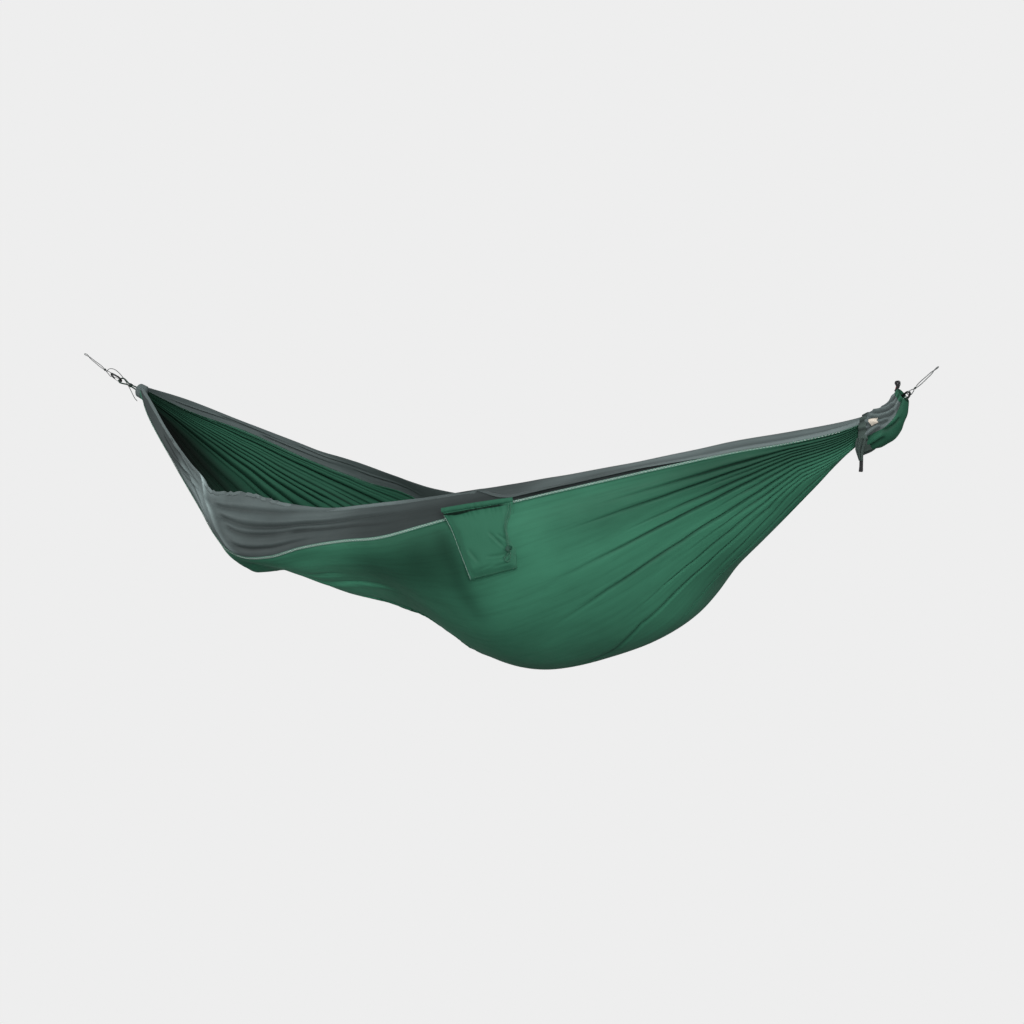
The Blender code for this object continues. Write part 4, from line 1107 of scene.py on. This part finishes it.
# Each section is (reach, top, bottom, width, lean), from the clip towards the bed
SACK_SECTIONS = [
    (0.018, 0.0275, -0.0165, 0.018, 0.00), (0.034, 0.0235, -0.0330, 0.022, 0.00),
    (0.058, 0.0150, -0.0510, 0.026, 0.05), (0.088, 0.0180, -0.0660, 0.032, 0.15),
    (0.115, 0.0245, -0.0640, 0.036, 0.30), (0.142, 0.0275, -0.0560, 0.036, 0.60)]
BAND_SECTIONS = [(0.1370, 0.0290, -0.0585, 0.0375, 0.56), (0.1440, 0.0305, -0.0575, 0.0385, 0.60),
                 (0.1640, 0.0330, -0.0520, 0.0365, 0.75)]
SACK_FOLDS = [(0.6, 3.4, 4.95, 6.00, 0.14, 0.0050), (1.1, 4.2, 4.70, 5.75, 0.15, 0.0070),
              (1.6, 4.6, 4.45, 5.30, 0.14, 0.0065), (2.4, 5.2, 4.40, 4.98, 0.12, 0.0060),
              (-0.4, 1.5, 4.95, 4.75, 0.13, 0.0040), (-0.4, 1.6, 5.35, 5.20, 0.12, 0.0040),
              (3.3, 5.8, 4.42, 4.10, 0.13, 0.0055), (3.6, 5.8, 4.75, 4.55, 0.11, 0.0045),
              (0.0, 2.0, 4.25, 4.40, 0.16, 0.0040), (1.6, 3.6, 3.75, 4.20, 0.16, 0.0040),
              (3.4, 5.6, 3.75, 3.55, 0.16, 0.0050), (1.0, 4.0, 0.9, 1.2, 0.18, 0.0045),
              (2.0, 5.0, 1.5, 1.6, 0.15, 0.0045), (2.0, 4.8, 2.4, 2.6, 0.18, 0.0045)]
SACK_PUFF = 0.0016
SACK_WALL = 0.0009
LABEL_STITCH = (0.0024, 0.0016, 0.0005, 0.0004)


def sleeve_points(sections, along, around, folds, puff):
    """Points of a sleeve round the rigging; around is in units of sixty degrees from the top.

    Each fold is (start row, end row, start angle, end angle, width, depth).
    """
    angle = np.radians(around * 60)[None, :]
    reach, top, bottom, width, lean = np.transpose(hermite(sections, along))[..., None]
    height = (top + bottom) / 2 + (top - bottom) / 2 * np.cos(angle)
    local = np.stack([reach - lean * height, -width * np.sin(angle), height], axis=-1)
    out = np.stack([0 * angle, -np.sin(angle), np.cos(angle)], axis=-1)
    press = puff * soft_noise(along[:, None] * 1.6, around[None, :] * 2.6, 44, 3)
    shade = np.ones(press.shape)
    for start, stop, from_angle, to_angle, broad, depth in folds:
        centre = np.interp(along, [start, stop], [from_angle, to_angle])[:, None]
        run = within(along, start, start + 0.5, stop - 0.5, stop)[:, None]
        away = ((around[None, :] - centre + 3) % 6 - 3) / broad
        press = press + depth * run * pressed(away, 0.8, 1.5)
        # painted shade in each fold's valley and painted light on its crest
        shade = toned(shade, (-0.5, run, bump(away, 0, 0.9)), (0.25, run, bump(away, 1.6, 1)))
    points = placed(right_chain, local + out * press[..., None])
    return points[:, ::-1], shade[:, ::-1]


def sleeve_sheet(name, sections, along, around, folds, puff, material, node, wrap=False):
    points, shade = sleeve_points(sections, along, around, folds, puff)
    uvs = pairs(along[:, None] * 0.026, around[None, ::-1] * 0.045)
    return shell(name, points, uvs, SACK_WALL, material, "bed", node, wrap=wrap,
                 shade=(shade, shade))


sack_rows = np.linspace(0, 5.12, 84)
sack_upper = sleeve_sheet("sack_upper_cloth", SACK_SECTIONS, sack_rows,
                          np.linspace(-1.76, 1.90, 90), SACK_FOLDS, SACK_PUFF, "sack_grey_cloth",
                          "sack_upper_panel")
sack_upper.data.materials.append(MATERIALS["sack_green_cloth"][0])
mouth_rows = 12                                 # the sack's mouth is bound in green
faces = np.arange(83 * 89) // 89 < mouth_rows
which = np.zeros(len(sack_upper.data.polygons), np.int32)
which[:2 * len(faces)] = np.tile(faces, 2)
sack_upper.data.polygons.foreach_set("material_index", which)
sack_lower = sleeve_sheet("sack_lower_cloth", SACK_SECTIONS, sack_rows,
                          np.linspace(1.89, 4.25, 70), SACK_FOLDS, SACK_PUFF, "sack_green_cloth",
                          "sack_lower_panel")
band_folds = [(-0.4, 2.4, a, a + 0.18, 0.10, 0.0022)
              for a in (0.4, 1.3, 2.2, 3.2, 4.0, 4.6, 5.1, 5.6)]
sleeve_sheet("sack_tie_band", BAND_SECTIONS, np.linspace(0.0, 2.0, 30),
             np.linspace(0, 6, 120, endpoint=False), band_folds, 0.0010, "sack_band_cloth",
             "sack_wrap_band", wrap=True)


def ribbon(name, profile, width, thickness, matrix, body, node):
    """A flat webbing strap bent along a profile of (x, z) places, square across local Y."""
    path = evenly([(x, 0.0, z) for x, z in profile], 44)
    tangent = unit(np.gradient(path, axis=0))
    rise = np.stack([-tangent[:, 2], np.zeros(len(path)), tangent[:, 0]], axis=1) * thickness / 2
    half = np.array([0.0, width / 2, 0.0])
    rings = np.stack([path + half * share + rise * up for share, up in
                      ((-1, 0), (-0.9, 1), (0.9, 1), (1, 0), (0.9, -1), (-0.9, -1))], axis=1)
    closed_tube(name, placed(matrix, rings), "black_webbing_weave", body, node)


loop_turn = [(0.0104 + 0.0044 * math.cos(angle), 0.0412 + 0.0044 * math.sin(angle))
             for angle in np.radians(np.arange(-10, 250, 26))]
ribbon("sack_pull_tab", [(0.0285, 0.0275), (0.0220, 0.0302), (0.0165, 0.0346), *loop_turn,
                         (0.0110, 0.0345), (0.0178, 0.0305), (0.0250, 0.0262)],
       0.0120, 0.0042, right_chain, "bed", "sack_top_tab")
tack_threads = [(0.0155, y, 0.0368) if k % 2 else (0.0225, y, 0.0322)
                for k, y in enumerate(np.linspace(-0.0055, 0.0055, 7))]
tack_path = placed(right_chain, evenly(tack_threads, 80))
closed_tube("sack_bar_tack", rings_along(tack_path, 0.0008, 8), "red_tack", "bed", "sack_top_tack")


def patch_piece():
    """A blank cloth label sewn to the sack's near side."""
    along, around = np.linspace(3.45, 4.25, 16), np.linspace(4.70, 5.04, 14)
    points, _ = sleeve_points(SACK_SECTIONS, along, around, SACK_FOLDS, SACK_PUFF)
    normals = grid_normals(points)
    points = points - normals * 0.0016 * np.sign(normals[..., 1].mean())
    uvs = pairs(along[:, None] * 0.026, around[None, ::-1] * 0.04)
    shell("sack_label", points, uvs, SACK_WALL, "patch_weave", "bed", "sack_patch")
    rim = np.concatenate([points[1, 1:-1], points[1:-1, -2], points[-2, -2:0:-1],
                          points[-2:0:-1, 1]])
    stitches("sack_label_stitches", rim + np.array([0, -0.0007, 0]),
             np.repeat(np.array([[0.2, -1.0, 0.1]]), len(rim), axis=0), LABEL_STITCH,
             "grey_thread", "bed")


patch_piece()

TAIL_PIVOT = Vector((2.82, -0.046, -0.194))


def tail_piece():
    """The band's hanging end, folded lengthwise, and the webbing tab sewn to it."""
    down, side = np.linspace(0, 1, 40)[:, None], np.linspace(-1, 1, 40)[None, :]
    half = np.interp(down, [0, 0.25, 0.6, 0.85, 1.0], [0.0125, 0.0135, 0.0100, 0.0070, 0.0055])
    drift = np.interp(down, [0, 0.5, 1.0], [0.0010, -0.0040, 0.0000])
    y = (-0.0040 - 0.0022 * np.cos(side * 7.0 + 1.8 * down)
         - 0.0018 * np.sin(side * 12 + 3 * down) + 0.004 * side ** 2)
    points = np.stack([drift + half * side, y, 0.004 - 0.060 * down + 0 * side], axis=-1)
    shell("sack_band_tail", points + np.array(TAIL_PIVOT), pairs(down * 0.06, side * 0.012), 0.0012,
          "sack_band_cloth", "tail", "sack_tie_tail")
    matrix = Matrix.Translation(TAIL_PIVOT) @ Matrix.Rotation(math.pi / 2, 4, "Z")
    profile = [(0.0035, -0.050), (0.0032, -0.060), (0.0030, -0.072), (0.0016, -0.0845),
               (-0.0008, -0.0850), (0.0010, -0.0720), (0.0014, -0.060), (0.0014, -0.050)]
    ribbon("sack_tail_pull", profile, 0.0100, 0.0012, matrix, "tail", "sack_tail_tab")


tail_piece()


# Stuff pocket on the near seam --------------------

POCKET_LEFT = Vector((0.232, -0.475, -0.324))
POCKET_RIGHT = Vector((0.429, -0.418, -0.2885))
POCKET_CLOTH = 0.0008
POCKET_STITCH = (0.0036, 0.0026, 0.0007, 0.0005)
PIPING_STITCH = (0.0034, 0.0022, 0.0009, 0.0006)


def pocket_frame():
    """The pocket's own frame: X along its mouth from the left, Y inward and Z up."""
    along = (POCKET_RIGHT - POCKET_LEFT).normalized()
    inward = Vector((0, 0, 1)).cross(along).normalized()
    turn = Matrix((along, inward, along.cross(inward))).transposed().to_4x4()
    return Matrix.Translation(HOOK_LINE + POCKET_LEFT) @ turn


pocket = pocket_frame()


def pocket_grid(left, right, columns, rows):
    """Places x and z between two side curves, from the mouth down, and the shares u and v."""
    v = np.linspace(0, 1, rows)
    left, right = (hermite(curve, v * (len(curve) - 1))[:, None] for curve in (left, right))
    u = np.linspace(0, 1, columns)
    x, z = np.moveaxis(left * (1 - u)[None, :, None] + right * u[None, :, None], -1, 0)
    return x, z, u[None, :], v[:, None]


def pocket_sheet(name, grid, depth, node, shade=None):
    x, z, u, v = grid
    points = placed(pocket, np.stack([x, depth, z], axis=-1))[:, ::-1]
    if shade is not None:
        shade = (shade[:, ::-1],) * 2
    return shell(name, points, pairs(v * 0.2, u[:, ::-1] * 0.2), POCKET_CLOTH, "pocket_cloth",
                 "pocket", node, shade=shade)


FRONT_LEFT = [(0.005, -0.0165), (0.0205, -0.060), (0.0345, -0.125), (0.0520, -0.2075)]
FRONT_RIGHT = [(0.205, -0.0125), (0.2010, -0.070), (0.1930, -0.135), (0.1865, -0.1935)]
# Each wrinkle is (start, end, width, depth), with its places as (x, z)
POCKET_WRINKLES = [
    ((0.128, -0.085), (0.162, -0.128), 0.0040, 0.0034),
    ((0.150, -0.092), (0.180, -0.118), 0.0035, 0.0026),
    ((0.110, -0.150), (0.165, -0.150), 0.0040, 0.0030),
    ((0.150, -0.165), (0.176, -0.150), 0.0040, 0.0034),
    ((0.060, -0.120), (0.085, -0.160), 0.0060, 0.0020),
    ((0.165, -0.140), (0.190, -0.160), 0.0035, 0.0030),
    ((0.070, -0.185), (0.120, -0.172), 0.0045, 0.0020),
    ((0.120, -0.180), (0.175, -0.172), 0.0045, 0.0026)]
front_grid = x, z, u, v = pocket_grid(FRONT_LEFT, FRONT_RIGHT, 76, 72)
fade = ease(np.minimum(u, 1 - u), 0, 0.16) * fall(v, 0.86, 1)
puff = 0.0110 * fade * (0.55 + 0.45 * ease(v, 0.0, 0.45))
lip = bump(v, 0, 0.07) * (0.0035 + 0.0030 * bump(u, 0.25, 0.22))
puckers = bump(v, 0, 0.10) * 0.0012 * np.sin(u * 74 + 2 * np.sin(u * 17))
wrinkle = 0.0008 * soft_noise(x * 55, z * 50, 61, 3) * fade
# tone is painted shade: dark in the mouth's slit under the hem, darker towards the bottom edge and
# in each wrinkle's valley
slit = -0.0185 - 0.0055 * bump(u, 0.20, 0.18)
tone = toned(1, (-0.88, ease(z, slit - 0.0015, slit + 0.0005), fall(u, 0.80, 0.97)),
             (-0.25, ease(v, 0.90, 1.0)))
for (x0, z0), (x1, z1), broad, deep in POCKET_WRINKLES:
    run_x, run_z = x1 - x0, z1 - z0
    long = math.hypot(run_x, run_z)
    part = ((x - x0) * run_x + (z - z0) * run_z) / long ** 2
    away = ((x - x0) * run_z - (z - z0) * run_x) / long / broad
    run = within(part, -0.15, 0.3, 0.7, 1.25)
    wrinkle = wrinkle + deep * run * pressed(away, 0.6, 1.5)
    tone = toned(tone, (-60 * deep, run, bump(away, 0, 0.8)))
front = pocket_sheet("pocket_front_cloth", front_grid,
                     -(0.0028 + puff + lip + puckers + wrinkle * fade), "pocket_front_panel", tone)
back_grid = pocket_grid([(0.002, -0.004), (0.0520, -0.2085)], [(0.206, -0.004), (0.1865, -0.1945)],
                        40, 40)
back = pocket_sheet("pocket_back_cloth", back_grid, -0.0008 + 0 * back_grid[0], "pocket_back_panel")

hem_at = np.linspace(0, 1, 90)
hem_wave = 0.0007 * np.sin(hem_at * 46 + 2 * np.sin(hem_at * 13))
hem_rings = []
for height, depth, waving in (
        (0.0008, -0.0022, 0.2), (0.0004, -0.0042, 1), (-0.0060, -0.0058, 1), (-0.0118, -0.0052, 1),
        (-0.0126, -0.0040, 1), (-0.0118, -0.0026, 0.2), (-0.0060, -0.0022, 0.2),
        (-0.0004, -0.0018, 0.2)):
    hem_rings.append(np.stack([0.0006 + 0.2064 * hem_at, depth + hem_wave * waving,
                               height + 0.0012 * np.sin(hem_at * 3.1) - 0.0006], axis=1))
closed_tube("pocket_mouth_hem", placed(pocket, np.stack(hem_rings, axis=1)), "pocket_hem_cloth",
            "pocket", "pocket_hem_band")


def pocket_stitches(name, line, sizes, material):
    """Stitches along a line of (x, y, z) places on the pocket's face."""
    outward = -np.array(pocket.to_3x3().col[1])
    stitches(name, placed(pocket, line), np.repeat(outward[None, :], len(line), axis=0), sizes,
             material, "pocket")


hem_line = np.stack([0.002 + 0.204 * hem_at, -0.0050 + hem_wave, np.full(90, -0.0098)], axis=1)
pocket_stitches("pocket_hem_stitches", hem_line, POCKET_STITCH, "green_cord")
side_line = hermite([(x - 0.0006, -0.0042, z) for x, z in FRONT_LEFT], np.linspace(0, 3, 60))
closed_tube("pocket_edge_piping", rings_along(placed(pocket, side_line), 0.0010, 10), "seam_cloth",
            "pocket", "pocket_edge_binding")
pocket_stitches("pocket_piping_stitches", side_line + np.array([0.0002, -0.0010, 0]),
                PIPING_STITCH, "pale_thread")
bottom_line = hermite([(0.0520, -0.0036, -0.2035), (0.0900, -0.0036, -0.2000),
                       (0.1400, -0.0036, -0.1950), (0.1865, -0.0036, -0.1895)],
                      np.linspace(0, 3, 60))
pocket_stitches("pocket_bottom_stitches", bottom_line, POCKET_STITCH, "green_cord")

LOCK_ALONG, CORD_DEPTH, STRAND = 0.181, -0.0290, 0.0016
down = [(0.2040, -0.0200, -0.013), (0.2028, -0.0222, -0.026), (0.1975, -0.0260, -0.046),
        (0.1880, -0.0285, -0.064)]
down += [(LOCK_ALONG + STRAND, CORD_DEPTH, z) for z in (-0.080, -0.100, -0.125, -0.146)]
turn = [(0.1800, -0.0262, -0.160), (0.1725, -0.0232, -0.1690), (0.1640, -0.0222, -0.1670),
        (0.1635, -0.0222, -0.1580), (0.1720, -0.0250, -0.1520)]
rise = [(LOCK_ALONG - STRAND, CORD_DEPTH, z) for z in (-0.143, -0.120, -0.100, -0.080)]
rise += [(0.1835, -0.0286, -0.062), (0.1920, -0.0260, -0.043), (0.1975, -0.0225, -0.026),
         (0.1985, -0.0200, -0.0135)]
cord_path = placed(pocket, evenly(down + turn + rise, 120))
drawcord = cord_piece("pocket_draw_cord", cord_path, THIN_CORD_RADIUS, "green_cord", "pocket",
                      "pocket_drawcord")
refinish("lock_plastic", "cord_lock_body", "cord_lock_button")


# Camera, light and floor --------------------

def build_camera():
    data = bpy.data.cameras.new("camera")
    data.lens = 68.2326
    data.sensor_width = 36.0
    data.clip_end = 200.0
    camera = bpy.data.objects.new("camera", data)
    camera.location = (4.71525, -4.88945, 0.14076)
    camera.rotation_euler = (math.pi / 2 - 0.10258, 0.0, 0.55133)
    bpy.context.scene.collection.objects.link(camera)
    bpy.context.scene.camera = camera


BACKDROP = (0.855, 0.855, 0.855, 1)


def build_light():
    """Soft light from above and from the right, and an even pale backdrop."""
    scene = bpy.context.scene
    scene.view_settings.view_transform = "Standard"
    scene.world = bpy.data.worlds.new("studio")
    scene.world.use_nodes = True
    tree = scene.world.node_tree
    tree.nodes.clear()
    place = new_node(tree, "ShaderNodeTexCoord").outputs["Generated"]
    height = new_node(tree, "ShaderNodeSeparateXYZ", i0=place).outputs["Z"]
    strength = new_node(tree, "ShaderNodeMapRange", i0=height, i1=-0.6, i2=0.9, i3=0.22, i4=0.80)
    lit = new_node(tree, "ShaderNodeBackground", Color=(0.86, 0.87, 0.88, 1),
                   Strength=strength.outputs[0])
    seen = new_node(tree, "ShaderNodeBackground", Color=BACKDROP)
    mix = new_node(tree, "ShaderNodeMixShader", i1=lit.outputs[0], i2=seen.outputs[0],
                   i0=new_node(tree, "ShaderNodeLightPath").outputs["Is Camera Ray"])
    new_node(tree, "ShaderNodeOutputWorld", Surface=mix.outputs[0])
    for name, size, energy, place, aim in (
            ("key", 2.6, 300.0, (5.2, -4.2, 0.9), (1.8, 0.0, -0.5)),
            ("fill", 3.5, 120.0, (-3.2, -2.8, 0.6), (1.0, 0.0, -0.5))):
        data = bpy.data.lights.new(name, "AREA")
        data.size = size
        data.energy = energy
        light = bpy.data.objects.new(name, data)
        light.location = place
        direction = Vector(aim) - Vector(place)
        light.rotation_euler = direction.to_track_quat("-Z", "Y").to_euler()
        scene.collection.objects.link(light)


def build_floor():
    """A wide pale floor well below the hammock, the same tone as the backdrop."""
    mesh = bpy.data.meshes.new("floor")
    shape = bmesh.new()
    bmesh.ops.create_grid(shape, x_segments=1, y_segments=1, size=60.0)
    shape.to_mesh(mesh)
    shape.free()
    floor = bpy.data.objects.new("floor", mesh)
    floor.location = (1.5, 0.0, -1.9)
    material = bpy.data.materials.new("floor_paper")
    material.use_nodes = True
    inputs = material.node_tree.nodes["Principled BSDF"].inputs
    inputs["Base Color"].default_value = (0.0, 0.0, 0.0, 1)
    inputs["Specular IOR Level"].default_value = 0.0
    inputs["Emission Color"].default_value = BACKDROP
    inputs["Emission Strength"].default_value = 1.0
    mesh.materials.append(material)
    bpy.context.scene.collection.objects.link(floor)
    floor.visible_diffuse = False
    floor.visible_glossy = False


build_camera()
build_light()
build_floor()
